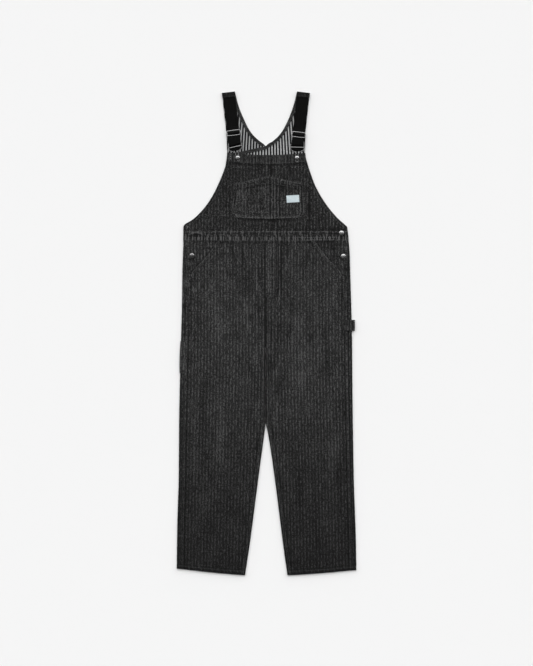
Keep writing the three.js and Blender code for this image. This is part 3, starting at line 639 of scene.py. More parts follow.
def front_face(side, x, y):
    """Top of the front leg, with painted light and shade along its seams, pocket mouth and hem."""
    main, fine, wear_and_shade = relief(x, y)
    z = np.maximum(LOWEST_FRONT, FRONT_UNDER + main + fly_lift(x, y)) + CLOTH + fine

    from_waist, gather = WAIST_Y - y, waist_gather(x, y)
    z = z + 0.28 * gather + 0.7 * hump(from_waist, 0, 3.0)
    # Lighter gathers, a painted bright line at the waist seam and painted shade just below it
    wear_and_shade = wear_and_shade + 0.7 * gather + lines(from_waist, (0, 1.5, 0.8), (6.3, 2.2, -0.5))

    from_seam = side.sign * (front_x(side, y) - x)
    is_mouth, mouth = ease((y - POCKET_FOOT_Y) / 10), MOUTH_SLANT * from_seam
    tick = 0.3 * pucker(y, 7.0, 2.4)
    z = z + is_mouth * 0.45 * ease((8 - mouth) / 1.5)
    # A painted light line on the mouth's edge, painted shade beyond its stitching, lighter and darker
    # gathers
    wear_and_shade = wear_and_shade + is_mouth * lines(mouth, (1.0, 1.2, 0.55), (9.2, 1.3, -0.4), (4, 4, tick))

    is_seam, tick = 1 - is_mouth, pucker(y, 9.0, 4.1)
    z = z + is_seam * 0.12 * tick * hump(from_seam, 5, 6)
    # Painted shade beside the side seam's step, with lighter and darker gathers along it
    wear_and_shade = wear_and_shade + is_seam * lines(from_seam, (1.0, 2.4, -0.5), (6.0, 5.0, -0.22), (6, 7, 0.22 * tick))

    from_inseam = side.sign * (x - inner_x(side, y))
    is_inseam, below_split = ease((CROTCH_Y - y) / 8), ease((SPLIT_Y - y) / 30)
    fell = FELL["raise"] * ease((FELL["width"] - from_inseam) / 1.6)
    tick = pucker(y, 8.0, 0.7 + side.sign)
    # A lighter line on the felled inseam, painted shade beside its step, lighter and darker gathers
    beside_fell = (FELL["width"] + 1.6, 2.2, -0.3 - 0.45 * below_split)
    on_fell = lines(from_inseam, (5.5, 3.2, 0.15 * below_split), beside_fell, (8, 7, 0.3 * tick))
    z = z + is_inseam * (fell + 0.12 * tick * hump(from_inseam, 8, 7))
    wear_and_shade = wear_and_shade + is_inseam * on_fell
    # Painted shade along the inner edge above the split
    wear_and_shade = wear_and_shade - 0.3 * hump(from_inseam, 0, 2.0) * (1 - below_split)

    if side is LEFT:
        z, wear_and_shade = fly_face(z, wear_and_shade, x, y)
    else:
        # Painted shadow of the left front's edge along the right's centre seam
        wear_and_shade = wear_and_shade - ease((y - CROTCH_Y) / 8) * 0.2 * hump(from_inseam, 1, 2)

    from_hem = y - hem_y(side, x)
    roping = pucker(x + 0.55 * y, 7.4, 5.0 + side.sign)
    z = z + hem_turning(from_hem) + 0.22 * roping * hump(from_hem, 7, 7)
    # Lighter and darker roping on the hem, painted shade above the hem's step and on its rolled edge; the
    # hem band a little darker
    wear_and_shade = wear_and_shade + lines(from_hem, (8, 7, 1.5 * roping), (HEM_DEPTH + 2.5, 2.4, -0.5), (0, 3.2, -1.5))
    return z, wear_and_shade - 0.25 * ease((HEM_DEPTH - from_hem) / 2)


def fly_face(z, wear_and_shade, x, y):
    """Adds the fly's stitched ridges to the left front, and the centre seam under them, with painted
    highlight on the ridges and painted shade in the grooves and along the seam.
    """
    is_fly = ease((y - FLY["foot"] + 4) / 10)
    is_rise = ease((y - CROTCH_Y) / 8) * (1 - is_fly)
    along = pucker(y, 8.8, 3.0)
    ridges, grooves = is_fly * lines(x, *FLY_RIDGES), is_fly * lines(x, *FLY_GROOVES)
    z = z + 0.2 * ridges - 0.15 * grooves + is_rise * 0.4 * ease((9 - x) / 1.6)
    # Painted highlight on the fly's ridges and painted shade in its grooves
    wear_and_shade = wear_and_shade + ridges * (0.75 + 0.4 * along) - grooves
    # Below the fly, a painted shadow line along the centre seam and a lighter line on its stitching
    return z, wear_and_shade + is_rise * lines(x, (-1, 2.4, -0.9), (4.5, 2.6, 0.3 + 0.3 * along))


def strip_face(side, x, y):
    """Top of the back leg's strip that wraps over the fold onto the front."""
    main, fine, wear_and_shade = relief(x, y)
    from_seam, from_hem = side.sign * (x - seam_x(side, y)), y - hem_y(side, x)
    tick, gather = pucker(y, 7.6, 1.7 + side.sign), waist_gather(x, y)
    z = np.maximum(LOWEST_FRONT, FRONT_UNDER + main) + CLOTH + fine + hem_turning(from_hem) + 0.25 * gather
    z = z + 0.55 * ease((SEAM_RIDGE + 0.8 - from_seam) / 1.2) + 0.16 * tick * hump(from_seam, 5, 5)
    # The strip a little darker, with lighter gathers and a lighter line on the seam's ridge
    wear_and_shade = wear_and_shade - 0.25 + 0.4 * gather + lines(from_seam, (5.0, 2.6, 0.35), (6, 5, 0.5 * tick))
    # Painted shade at the seam's edge and in the groove beyond the ridge
    wear_and_shade = wear_and_shade + lines(from_seam, (0, 1.2, -0.45), (SEAM_RIDGE + 1.6, 1.8, -0.6))
    # Painted shade above the hem's step and on its rolled edge
    return z, wear_and_shade + lines(from_hem, (HEM_DEPTH + 2.5, 2.4, -0.4), (0, 3.2, -1.5))


def side_drop(right, left, x):
    inward = np.minimum(x - right, left - x)
    return SIDE_DROP["depth"] * ease(1 - inward / SIDE_DROP["reach"])


def facing_face(side, x, y):
    """Top of the facing behind the slanted pocket mouth."""
    mouth = front_x(side, y)
    room = np.abs(seam_x(side, y) - mouth)
    past = side.sign * (x - mouth) - 2
    climb = (FRONT_UNDER - LAYER - 0.1) * ease(past / np.maximum(room, 20)) * ease(room / 26)
    _, fine, wear_and_shade = relief(x, y)
    gather, hole = waist_gather(x, y), slit(x, y)
    z = LAYER + 0.1 + climb + CLOTH + 0.6 * fine + 0.2 * gather - 0.3 * hole
    # Lighter gathers, painted shade under the front's mouth edge and in the buttonhole slits
    return z, wear_and_shade + 0.4 * gather - 0.5 * ease((7 - past) / 7) - 1.3 * hole


def band_face(x, y):
    """Top of the waistband, gathered by the seam under it, with painted highlight and shade on its gathers,
    its arched fold and its edges.
    """
    main, fine, wear_and_shade = relief(x, y)
    z = FRONT_UNDER + main - side_drop(outer_x(RIGHT, y), outer_x(LEFT, y), x) + BAND_CLOTH + 0.6 * fine
    from_foot, from_top = y - WAIST_Y, WAIST_Y + BAND_HEIGHT - y
    low_gather = pucker(x, 9.4, 1.0) * hump(from_foot, 5, 7)
    high_gather = pucker(x, 11.0, 3.7) * hump(from_top, 3, 7)
    crossing = pucker(x + 0.25 * y, 17.0, 2.2) * hump(from_foot, 14, 9)
    arch_z, arch_wear_and_shade = arched_fold(x, y)
    hole = slit(x, y)
    z = z + 0.4 * low_gather + 0.16 * high_gather + 0.12 * crossing + arch_z - 0.3 * hole
    # Painted highlight and shade on the gathers and the arched fold, painted shade in the buttonhole slits
    wear_and_shade = wear_and_shade + 3.8 * low_gather + 1.2 * high_gather + 0.7 * crossing + arch_wear_and_shade - 1.5 * hole
    # Painted bright lines on the band's rolled foot and top edges, lighter and darker lines along the
    # stitching
    wear_and_shade = wear_and_shade + lines(from_foot, (0.5, 1.5, 1.2), (7.5, 3.4, 0.3), (14, 3, -0.2))
    return z, wear_and_shade + lines(from_top, (0.5, 1.5, 0.8), (6.3, 2.0, -0.5))


def bib_face(x, y, band=0.0):
    """Top of the bib. band is 1 inside its top hem."""
    main, fine, wear_and_shade = relief(x, y)
    right, left = bib_x(RIGHT, y), bib_x(LEFT, y)
    slope = np.where(x < 0, at_slope(BIB_EDGE, "right", y), at_slope(BIB_EDGE, "left", y))
    inward = np.minimum(x - right, left - x) / np.sqrt(1 + slope**2)
    from_foot, from_top = y - BIB_FOOT_Y, bib_top_y(clamp((x - right) / (left - right))) - y
    gather = pucker(x, 11.0, 3.7) * hump(from_foot, 0, 8)
    z = FRONT_UNDER + main - side_drop(right, left, x) + CLOTH + fine + 0.15 * gather
    # Lighter gathers, and painted shade just above the bib's foot seam
    wear_and_shade = wear_and_shade + 0.4 * gather - 0.35 * hump(from_foot, 5, 4)

    tick = pucker(y + 0.4 * x, 6.8, 2.9)
    z = z + 0.22 * ease((8.5 - inward) / 1.8) + 0.2 * tick * hump(inward, 6, 4)
    # Painted shade on the armhole's rolled edge and beside its hem, with lighter and darker gathers
    wear_and_shade = wear_and_shade + lines(inward, (0, 3.2, -0.9), (10.2, 1.8, -0.3), (7, 3, 0.5 * tick))

    tick = pucker(x, 8.2, 0.4)
    z = z + band * (HEM_TURNING + 0.15 * tick * hump(from_top, 20, 9))
    # The raised top hem a little lighter, with lighter gathers and a darker top edge
    wear_and_shade = wear_and_shade + band * (0.4 + lines(from_top, (15, 12, 1.4 * tick), (0, 1.6, -0.3)))
    # Painted shade under the top hem's step and a lighter line just inside it
    return z, wear_and_shade + lines(from_top, (BAND_HEIGHT + 3.0, 2.6, -0.7), (BAND_HEIGHT - 3.5, 1.8, 0.3))


def pocket_face(x, y):
    """Top of the chest pocket, which lies on the bib, with a painted shadow in the pencil dent and painted
    light and shade along its stitched channels.
    """
    z, wear_and_shade = bib_face(x, y)
    dent = creased(PENCIL_DENT, x, y)
    stitched = lines(x, *[(line, 0.9, 0.12) for line in POCKET_DIVIDER])
    return z + GAP + CLOTH + 0.5 + dent - stitched, wear_and_shade + 0.5 * dent + lines(x, *POCKET_LINES)


# Making meshes

def grid_normals(points):
    """Unit normals of a grid of points, from its rows and columns."""
    return unit(np.cross(np.gradient(points, axis=1), np.gradient(points, axis=0)))


def new_piece(name, points, faces, materials, face_slots=None):
    """A mesh object at the origin from points in millimetres."""
    mesh = bpy.data.meshes.new(name)
    mesh.from_pydata((np.asarray(points) * MM).tolist(), [], faces)
    for material in materials:
        mesh.materials.append(material)
    if face_slots is not None:
        mesh.polygons.foreach_set("material_index", face_slots)
    mesh.polygons.foreach_set("use_smooth", [True] * len(mesh.polygons))
    mesh.validate()
    mesh.set_sharp_from_angle(angle=math.radians(50))
    piece = bpy.data.objects.new(name, mesh)
    bpy.context.scene.collection.objects.link(piece)
    return piece


def cloth_piece(name, face, wear_and_shade, grain, thickness, materials, bulge=0.3, looks_up=True):
    """A wall of cloth under a grid of points on its face, with rounded edges.

    materials are the face and the reverse; grain is where each point lies on the cloth. looks_up
    says whether the face looks up at the grid's first corner.
    """
    rows, columns = face.shape[:2]
    normals = grid_normals(face)
    if (normals[1:4, 1:4, 2].mean() > 0) != looks_up:
        face, wear_and_shade, grain, normals = face[:, ::-1], wear_and_shade[:, ::-1], grain[:, ::-1], -normals[:, ::-1]
    back = face - normals * thickness
    count = rows * columns
    index = np.arange(count).reshape(rows, columns)
    a, b = index[:-1, :-1].ravel(), index[:-1, 1:].ravel()
    c, d = index[1:, 1:].ravel(), index[1:, :-1].ravel()
    over = np.stack([a, b, c, d], axis=1)
    under = np.stack([a, d, c, b], axis=1) + count

    ring = np.concatenate([index[0, :-1], index[:-1, -1], index[-1, :0:-1], index[:0:-1, 0]])
    flat, flat_back = face.reshape(-1, 3), back.reshape(-1, 3)
    inside = np.concatenate([index[1, :-1], index[:-1, -2], index[-2, :0:-1], index[:0:-1, 1]])
    middle = (flat[ring] + flat_back[ring]) / 2 + unit(flat[ring] - flat[inside]) * bulge
    size = len(ring)
    middle_index = 2 * count + np.arange(size)
    after = np.roll(np.arange(size), -1)
    rim_top = np.stack([ring, middle_index, middle_index[after], ring[after]], axis=1)
    rim_low = np.stack([middle_index, ring + count, ring[after] + count, middle_index[after]], axis=1)

    points = np.concatenate([flat, flat_back, middle])
    faces = np.concatenate([over, under, rim_top, rim_low])
    slots = np.concatenate([np.zeros(len(over)), np.ones(len(under)), np.zeros(2 * size)]).astype(int)
    piece = new_piece(name, points, faces.tolist(), materials, slots)

    source = np.concatenate([np.arange(count), np.arange(count), ring])
    mesh = piece.data
    # Each point's wear with painted light and shade, handed to the cloth's materials
    wear_and_shade_data = mesh.attributes.new("wear_and_shade", "FLOAT", "POINT")
    wear_and_shade_data.data.foreach_set("value", wear_and_shade.ravel()[source].astype(np.float32))
    vertex_of_corner = np.empty(len(mesh.loops), int)
    mesh.loops.foreach_get("vertex_index", vertex_of_corner)
    weave = mesh.uv_layers.new(name="grain")
    places = (grain.reshape(-1, 2) * MM)[source][vertex_of_corner]
    weave.data.foreach_set("uv", places.ravel().astype(np.float32))
    return piece


def dress(piece, slot, *nodes):
    """The piece rides on the garment and stands for its nodes, whose own parts are hidden; slot is not used.
    """
    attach(piece, "root")
    if nodes:
        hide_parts(*nodes)


def lengths_along(line):
    """How far along a line of points each of them is."""
    return np.concatenate([[0], np.cumsum(np.linalg.norm(np.diff(line, axis=0), axis=1))])


def shares(*stretches, start=0.0):
    """Values from start on, in stretches of (end, steps)."""
    values = [start]
    for end, count in stretches:
        start = values[-1]
        values += [mix(start, end, k / count) for k in range(1, count + 1)]
    return np.array(values)


def edged(count, fine=0.004):
    """Even shares with extra ones beside each edge."""
    return with_edges(np.linspace(0, 1, count), fine)


def with_edges(values, fine=0.004):
    """Shares from 0 to 1 with extra ones beside each edge."""
    return np.concatenate([[0, fine * 0.4, fine], values[1:-1], [1 - fine, 1 - fine * 0.4, 1]])


# Node helpers

def feed(tree, node, **inputs):
    """Sets a node's inputs, each by a value or by a socket to link; i2 means its input 2."""
    for name, value in inputs.items():
        socket = node.inputs[int(name[1:]) if name[1:].isdigit() else name.replace("_", " ")]
        if isinstance(value, bpy.types.NodeSocket):
            tree.links.new(value, socket)
        else:
            socket.default_value = value


def shader_node(tree, kind, settings=None, **inputs):
    """A new node with its settings and inputs."""
    made = tree.nodes.new(kind)
    for name, value in (settings or {}).items():
        setattr(made, name, value)
    feed(tree, made, **inputs)
    return made


def maths(tree, operation, a, b=0.0, c=0.0):
    return shader_node(tree, "ShaderNodeMath", {"operation": operation}, i0=a, i1=b, i2=c).outputs[0]


def remapped(tree, value, low, high, to_low=0.0, to_high=1.0):
    smooth = {"interpolation_type": "SMOOTHSTEP"}
    made = shader_node(tree, "ShaderNodeMapRange", smooth, i0=value, i1=low, i2=high, i3=to_low, i4=to_high)
    return made.outputs[0]


def noise(tree, vector, across, along, detail=2.0):
    """Noise on a vector in metres, with grains about across by along millimetres."""
    scale = (1 / (across * MM), 1 / (along * MM), 1 / (across * MM))
    grains = shader_node(tree, "ShaderNodeMapping", Vector=vector, Scale=scale).outputs[0]
    return shader_node(tree, "ShaderNodeTexNoise", Vector=grains, Scale=1.0, Detail=detail).outputs[0]


def xyz(tree, vector):
    return shader_node(tree, "ShaderNodeSeparateXYZ", Vector=vector).outputs


def cords(tree, value, pitch):
    """A sine along a value in metres, with a cord every pitch millimetres."""
    return maths(tree, "SINE", maths(tree, "MULTIPLY", value, 2 * math.pi / (pitch * MM)))


def placed_group(tree, group, **inputs):
    return shader_node(tree, "ShaderNodeGroup", {"node_tree": group}, **inputs).outputs


def grain_of(tree):
    return shader_node(tree, "ShaderNodeUVMap", {"uv_map": "grain"}).outputs[0]


def wear_and_shade_of(tree):
    return shader_node(tree, "ShaderNodeAttribute", {"attribute_name": "wear_and_shade"}).outputs["Fac"]


def object_place(tree):
    return shader_node(tree, "ShaderNodeTexCoord").outputs["Object"]


def mixed(tree, a, b, share, blend="MIX"):
    """Two colours mixed, or multiplied with blend set to that."""
    settings = {"data_type": "RGBA", "blend_type": blend}
    return shader_node(tree, "ShaderNodeMix", settings, i0=share, i6=a, i7=b).outputs[2]


def bump(tree, height, distance):
    made = shader_node(tree, "ShaderNodeBump", Height=height, Distance=distance * MM, Strength=1.0)
    return made.outputs[0]


def new_group(name, inputs, outputs):
    """An empty node group with named float and vector sockets, and its input and output nodes."""
    group = bpy.data.node_groups.new(name, "ShaderNodeTree")
    for socket, kind in inputs:
        group.interface.new_socket(name=socket, in_out="INPUT", socket_type=kind)
    for socket in outputs:
        group.interface.new_socket(name=socket, in_out="OUTPUT", socket_type="NodeSocketFloat")
    return group, group.nodes.new("NodeGroupInput").outputs, group.nodes.new("NodeGroupOutput").inputs


def twill_group():
    """Twill cloth: its streaks, slubs and flecks, and the height of its cords."""
    masks = {"Streak": (3.6, 32), "Slub": (2.2, 9), "Fleck": (3.4, 3.2), "Mottle": (55, 90)}
    group, given, out = new_group("twill_cloth", [("Grain", "NodeSocketVector")], [*masks, "Height"])
    for name, (across, along) in masks.items():
        masks[name] = noise(group, given["Grain"], across, along)
        group.links.new(masks[name], out[name])
    place = xyz(group, given["Grain"])
    cord = cords(group, maths(group, "MULTIPLY_ADD", place[1], 0.62, place[0]), 1.15)
    height = maths(group, "MULTIPLY_ADD", cord, 0.35, maths(group, "MULTIPLY", masks["Slub"], 0.9))
    height = maths(group, "MULTIPLY_ADD", cords(group, place[0], 0.8), 0.15, height)
    group.links.new(height, out["Height"])
    return group


def stripe_group():
    """Woven stripes along the grain: 1 on a stripe, 0 between."""
    inputs = [("Grain", "NodeSocketVector"), ("Pitch", "NodeSocketFloat"), ("Width", "NodeSocketFloat")]
    group, given, out = new_group("woven_stripes", inputs, ["Stripe"])
    fray = noise(group, given["Grain"], 0.9, 3.0, 1.0)
    waver = maths(group, "MULTIPLY_ADD", fray, 0.0011, xyz(group, given["Grain"])[0])
    turns = maths(group, "ADD", maths(group, "DIVIDE", waver, given["Pitch"]), 0.44)
    away = maths(group, "ABSOLUTE", maths(group, "SUBTRACT", maths(group, "FRACT", turns), 0.5))
    half = maths(group, "MULTIPLY", given["Width"], 0.5)
    edge = maths(group, "DIVIDE", maths(group, "SUBTRACT", half, away), 0.05)
    soft = shader_node(group, "ShaderNodeClamp", Value=maths(group, "ADD", edge, 0.5)).outputs[0]
    group.links.new(soft, out["Stripe"])
    return group


# Pitch of the pinstripe and of the stripes inside, and the share of it that a stripe takes
PINSTRIPE_PITCH, INSIDE_PITCH, STRIPE_SHARE = 9.6 * MM, 8.76 * MM, 0.42
TWILL = twill_group()
STRIPES = stripe_group()


def new_material(name):
    """A material, its tree and its Principled shader."""
    material = bpy.data.materials.new(name)
    material.use_nodes = True
    tree = material.node_tree
    return material, tree, next(node for node in tree.nodes if node.type == "BSDF_PRINCIPLED")


def ramp(tree, value, *stops):
    """A colour ramp of (place, grey) or (place, colour) stops."""
    made = shader_node(tree, "ShaderNodeValToRGB", i0=value)
    elements = made.color_ramp.elements
    while len(elements) < len(stops):
        elements.new(0.5)
    for element, (place, colour) in zip(elements, stops):
        element.position = place
        colour = (colour,) * 3 if isinstance(colour, (int, float)) else colour
        element.color = (*colour, 1.0)
    return made.outputs[0]


# How the cloth's tone changes along the garment, from the hem to the shoulders: darkest at the hems, a
# little darker again at the shoulders
LENGTHWISE_TONE = [
    (0.0, 0.34), (0.09, 0.4), (0.24, 0.56), (0.43, 0.78),
    (0.62, 0.8), (0.71, 0.77), (0.76, 0.68), (0.84, 0.54),
]
GARMENT_LENGTH = 1.45
DENIM_DARK, DENIM_MIDDLE, DENIM_LIGHT = 0.0045, 0.0278, 0.105


def toned_along(tree, tone):
    """The cloth's colour from a tone of 0 to 1, with its tone changing along the garment."""
    share = maths(tree, "MULTIPLY_ADD", xyz(tree, object_place(tree))[1], 1 / GARMENT_LENGTH, 0.5)
    colour = ramp(tree, tone, (0.0, DENIM_DARK), (0.5, DENIM_MIDDLE), (1.0, DENIM_LIGHT))
    return mixed(tree, colour, ramp(tree, share, *LENGTHWISE_TONE), 1.0, "MULTIPLY")


def about(tree, value, strength, tone):
    """Tone with a value of 0 to 1 added round its middle."""
    return maths(tree, "MULTIPLY_ADD", maths(tree, "SUBTRACT", value, 0.5), strength, tone)


def denim_face(name, stripe, contrast, bias=0.0):
    """The rubbed outer face of the denim, with a faint broken pinstripe, lightened and darkened by each
    piece's rubbing and painted light and shade.
    """
    material, tree, shader = new_material(name)
    grain = grain_of(tree)
    cloth = placed_group(tree, TWILL, Grain=grain)
    stripes = placed_group(tree, STRIPES, Grain=grain, Pitch=PINSTRIPE_PITCH, Width=STRIPE_SHARE)["Stripe"]
    breaks = remapped(tree, noise(tree, grain, 3.4, 9.0, 1.0), 0.36, 0.62)
    tone = maths(tree, "MULTIPLY_ADD", maths(tree, "MULTIPLY", stripes, breaks), stripe, 0.33 + bias)
    strengths = {"Streak": 0.85 * contrast, "Slub": contrast, "Fleck": 1.7 * contrast, "Mottle": 0.45}
    for mask, strength in strengths.items():
        tone = about(tree, cloth[mask], strength, tone)
    # The piece's wear and painted light and shade lighten and darken the tone
    tone = maths(tree, "MULTIPLY_ADD", wear_and_shade_of(tree), 0.38, tone)
    feed(
        tree, shader, Base_Color=toned_along(tree, tone), Normal=bump(tree, cloth["Height"], 0.28),
        Roughness=maths(tree, "MULTIPLY_ADD", cloth["Slub"], -0.12, 0.94),
        Specular_IOR_Level=0.15, Sheen_Weight=0.05, Sheen_Roughness=0.5,
    )
    return material


def denim_reverse():
    """The inside of the denim, with its strong woven stripes."""
    material, tree, shader = new_material("denim_reverse")
    grain = grain_of(tree)
    cloth = placed_group(tree, TWILL, Grain=grain)
    stripe = placed_group(tree, STRIPES, Grain=grain, Pitch=INSIDE_PITCH, Width=STRIPE_SHARE)["Stripe"]
    # The reverse is lightened and darkened by the piece's wear and painted shade too, such as the painted
    # shade over the right back half
    tone = maths(tree, "MULTIPLY_ADD", wear_and_shade_of(tree), 0.5, about(tree, cloth["Slub"], 0.8, 0.5))
    light = ramp(tree, tone, (0.0, (0.2, 0.203, 0.207)), (1.0, (0.57, 0.575, 0.58)))
    dark = ramp(tree, tone, (0.0, 0.0015), (1.0, 0.006))
    raised = maths(tree, "MULTIPLY_ADD", stripe, 0.5, cloth["Height"])
    feed(
        tree, shader, Base_Color=mixed(tree, dark, light, stripe), Normal=bump(tree, raised, 0.25),
        Roughness=0.9, Specular_IOR_Level=0.2,
    )
    return material


def thread_material(name, dark, light):
    """Twisted sewing thread between two greys."""
    material, tree, shader = new_material(name)
    place = object_place(tree)
    colour = ramp(tree, noise(tree, place, 2.0, 2.0), (0.25, dark), (0.75, light))
    ply = shader_node(tree, "ShaderNodeTexWave", {"bands_direction": "DIAGONAL"}, Vector=place, Scale=900.0)
    feed(tree, shader, Base_Color=colour, Roughness=0.6, Normal=bump(tree, ply.outputs[1], 0.08))
    return material


def webbing_material():
    """Woven black elastic: fine cords along the strap, crossed by tight picks."""
    material, tree, shader = new_material("webbing")
    grain = grain_of(tree)
    place = xyz(tree, grain)
    cord = cords(tree, place[0], 1.7)
    weave = maths(tree, "MULTIPLY", cord, cords(tree, place[1], 1.25))
    tone = maths(tree, "MULTIPLY_ADD", weave, 0.16, noise(tree, grain, 5.0, 24.0, 3.0))
    height = maths(tree, "MULTIPLY_ADD", cord, 0.6, weave)
    feed(
        tree, shader, Base_Color=ramp(tree, tone, (0.2, 0.0011), (0.9, 0.005)),
        Roughness=0.85, Specular_IOR_Level=0.08, Normal=bump(tree, height, 0.16),
    )
    return material


def metal_material(name, dull, bright):
    """Nickel plate between two greys, with fine handling marks."""
    material, tree, shader = new_material(name)
    marks = noise(tree, object_place(tree), 1.4, 6.0, 4.0)
    feed(
        tree, shader, Base_Color=ramp(tree, marks, (0.3, dull), (0.7, bright)), Metallic=1.0,
        Roughness=remapped(tree, marks, 0.3, 0.8, 0.14, 0.28), Normal=bump(tree, marks, 0.03),
    )
    return material


def label_material():
    """A bare woven patch, pale blue-white, with fine ribs."""
    material, tree, shader = new_material("label_cloth")
    grain = grain_of(tree)
    place = xyz(tree, grain)
    rib = cords(tree, place[0], 0.9)
    weave = maths(tree, "MULTIPLY", rib, cords(tree, place[1], 0.6))
    tone = maths(tree, "MULTIPLY_ADD", weave, 0.1, noise(tree, grain, 9.0, 7.0, 3.0))
    colour = ramp(tree, tone, (0.2, (0.48, 0.565, 0.6)), (0.8, (0.61, 0.7, 0.73)))
    feed(tree, shader, Base_Color=colour, Roughness=0.55, Normal=bump(tree, rib, 0.08))
    return material


DENIM = denim_face("denim", stripe=0.46, contrast=1.1)
DENIM_BIB = denim_face("denim_bib", stripe=0.5, contrast=1.4, bias=-0.07)
DENIM_POCKET = denim_face("denim_pocket", stripe=0.5, contrast=1.7, bias=0.0)
DENIM_BAND = denim_face("denim_band", stripe=0.5, contrast=1.5, bias=-0.03)
DENIM_PLAIN = denim_face("denim_binding", stripe=0.0, contrast=1.1, bias=0.22)
REVERSE = denim_reverse()
THREADS = (thread_material("thread", 0.03, 0.09), thread_material("tack_thread", 0.16, 0.36))
WEBBING = webbing_material()
NICKEL = metal_material("nickel", 0.3, 0.48)
# A darker copy of the nickel for the buckle's bent wire: painted shade, standing for the dark strap and
# cloth it reflects
SHADED_NICKEL = metal_material("shaded_nickel", 0.13, 0.26)
LABEL_CLOTH = label_material()
DENIM_PAIR = (DENIM, REVERSE)


def cut_cloth(name, node, points, wear_and_shade, grain, cloth=CLOTH, looks=DENIM_PAIR, on=(), slot="denim", **edge):
    """A sheet of cloth through points given by their x, y and z, laid flat in a node's place.

    grain gives where the points lie on the cloth; on names what the sheet rests on and is not used.
    """
    face = np.stack(np.broadcast_arrays(*points), axis=-1)
    grain = np.stack(np.broadcast_arrays(*grain, *points)[:2], axis=-1)
    piece = cloth_piece(name, face, wear_and_shade, grain, cloth, looks, **edge)
    dress(piece, slot, node)


def girth_across(x, z):
    """How far each point lies from its row's first one, along the cloth in X and Z."""
    steps = np.hypot(np.diff(x, axis=1, prepend=x[:, :1]), np.diff(z, axis=1, prepend=z[:, :1]))
    return np.cumsum(steps, axis=1)


# Legs

def leg_rows():
    """A leg's nominal heights, closer together at the waist, mouth, crotch and hem."""
    stretches = [(POCKET_FOOT_Y, 50), (-20, 44), (-76, 16), (HEM_START_Y, 48)]
    stretches += [(HEM_MIDDLE_Y + 18, 88), (HEM_MIDDLE_Y, 16)]
    return shares(*stretches, start=WAIST_Y + 0.6)[:, None]


def row_y(side, row, share):
    """A nominal row's own height at a share across, as the hem slopes."""
    down = clamp((HEM_START_Y - row) / (HEM_START_Y - HEM_MIDDLE_Y))
    slope = mix(HEM_START_Y, hem_at(side, share), down)
    return np.where(row > HEM_START_Y, row, slope)


def leg_lean(side, y):
    """How far the grain leans with the leg."""
    return GRAIN_LEAN * side.sign * np.minimum(0, y - LEAN_START_Y)


def inner_curl(side, rows, degrees, flat_z=None):
    """The edge round the inner fold, from -90 under the leg to 90 on top; flat above the crotch."""
    angle = np.radians(degrees)[None, :]
    y = row_y(side, rows, 1.0) + 0 * angle
    edge, out = inner_x(side, y), side.sign * FOLD_REACH
    top_z, wear_and_shade = front_face(side, edge + out * 0.6, y)
    flat = edge + out * np.abs(angle) / (math.pi / 2)
    low_z = front_face(side, flat, y)[0] if flat_z is None else flat_z
    round_share = ease((CROTCH_Y + CROTCH_TURN / 2 - y) / CROTCH_TURN)
    x = mix(flat, edge + out * (1 - np.cos(angle)), round_share)
    return x, y, mix(low_z, top_z / 2 * (1 + np.sin(angle)), round_share), wear_and_shade


def side_by_side(*parts):
    """Grids of (x, y, z, wear) joined into one, column after column."""
    full = [np.broadcast_arrays(*part) for part in parts]
    return [np.concatenate(values, axis=1) for values in zip(*full)]


def front_leg(side):
    rows = leg_rows()
    across = with_edges(shares((0.7, 52), (1.0, 46)))[None, :]
    y = row_y(side, rows, across)
    tucked = 1 - ease((y - POCKET_FOOT_Y) / 8)
    start = front_x(side, y) + side.sign * 2.5 * tucked
    x = mix(start, inner_x(side, y) + side.sign * FOLD_REACH, across)
    z, wear_and_shade = front_face(side, x, y)
    z = z - 1.25 * tucked * ease((side.sign * (x - front_x(side, y)) + 1.2) / 1.6)

    *curl, curl_wear_and_shade = inner_curl(side, rows, [72, 54, 36, 18, 2])
    # The inner rolled fold painted darker, as shade
    x, y, z, wear_and_shade = side_by_side((x, y, z, wear_and_shade), (*curl, curl_wear_and_shade - 0.5))
    cut_cloth(
        f"front_leg_{side.name}", f"{side.name}_front_leg", (x, y, z), wear_and_shade, (x + leg_lean(side, y), y),
        on=[f"{side.name}_back_leg"],
    )


def back_leg(side):
    rows, out = leg_rows(), side.sign * FOLD_REACH
    strip = shares((0.02, 2), (1.0, 9))[None, :]
    y_side = row_y(side, rows, 0.0)
    bend = outer_x(side, y_side) - out
    x_strip = mix(seam_x(side, y_side), bend, strip)
    z_strip, wear_and_shade_strip = strip_face(side, x_strip, y_side)

    fold = np.radians([67.5, 45, 22.5, 0, -22.5, -45, -67.5, -90])[None, :]
    height, wear_and_shade_fold = strip_face(side, bend, y_side)
    tick = pucker(y_side, 12.0, 2.0 + side.sign)
    x_fold = bend + (out + side.sign * 0.25 * tick) * np.cos(fold)
    z_fold = height / 2 * (1 + np.sin(fold))

    under = shares((1.0, 16))[None, 1:]
    y_under = row_y(side, rows, under)
    x_under = mix(outer_x(side, y_under) - out, inner_x(side, y_under) + out, under)
    *curl, _ = inner_curl(side, rows, [-72, -54, -36, -18, -2], 0.0)

    # The rounded outer fold painted darker, as shade, with lighter and darker gathers
    x, y, z, wear_and_shade = side_by_side(
        (x_strip, y_side, z_strip, wear_and_shade_strip), (x_fold, y_side, z_fold, wear_and_shade_fold - 0.45 + 0.25 * tick),
        (x_under, y_under, 0.0, 0.0), (*curl, 0.0),
    )
    along = seam_x(side, y_side) + side.sign * girth_across(x, z) + leg_lean(side, y)
    cut_cloth(f"back_leg_{side.name}", f"{side.name}_back_leg", (x, y, z), wear_and_shade, (along, y))


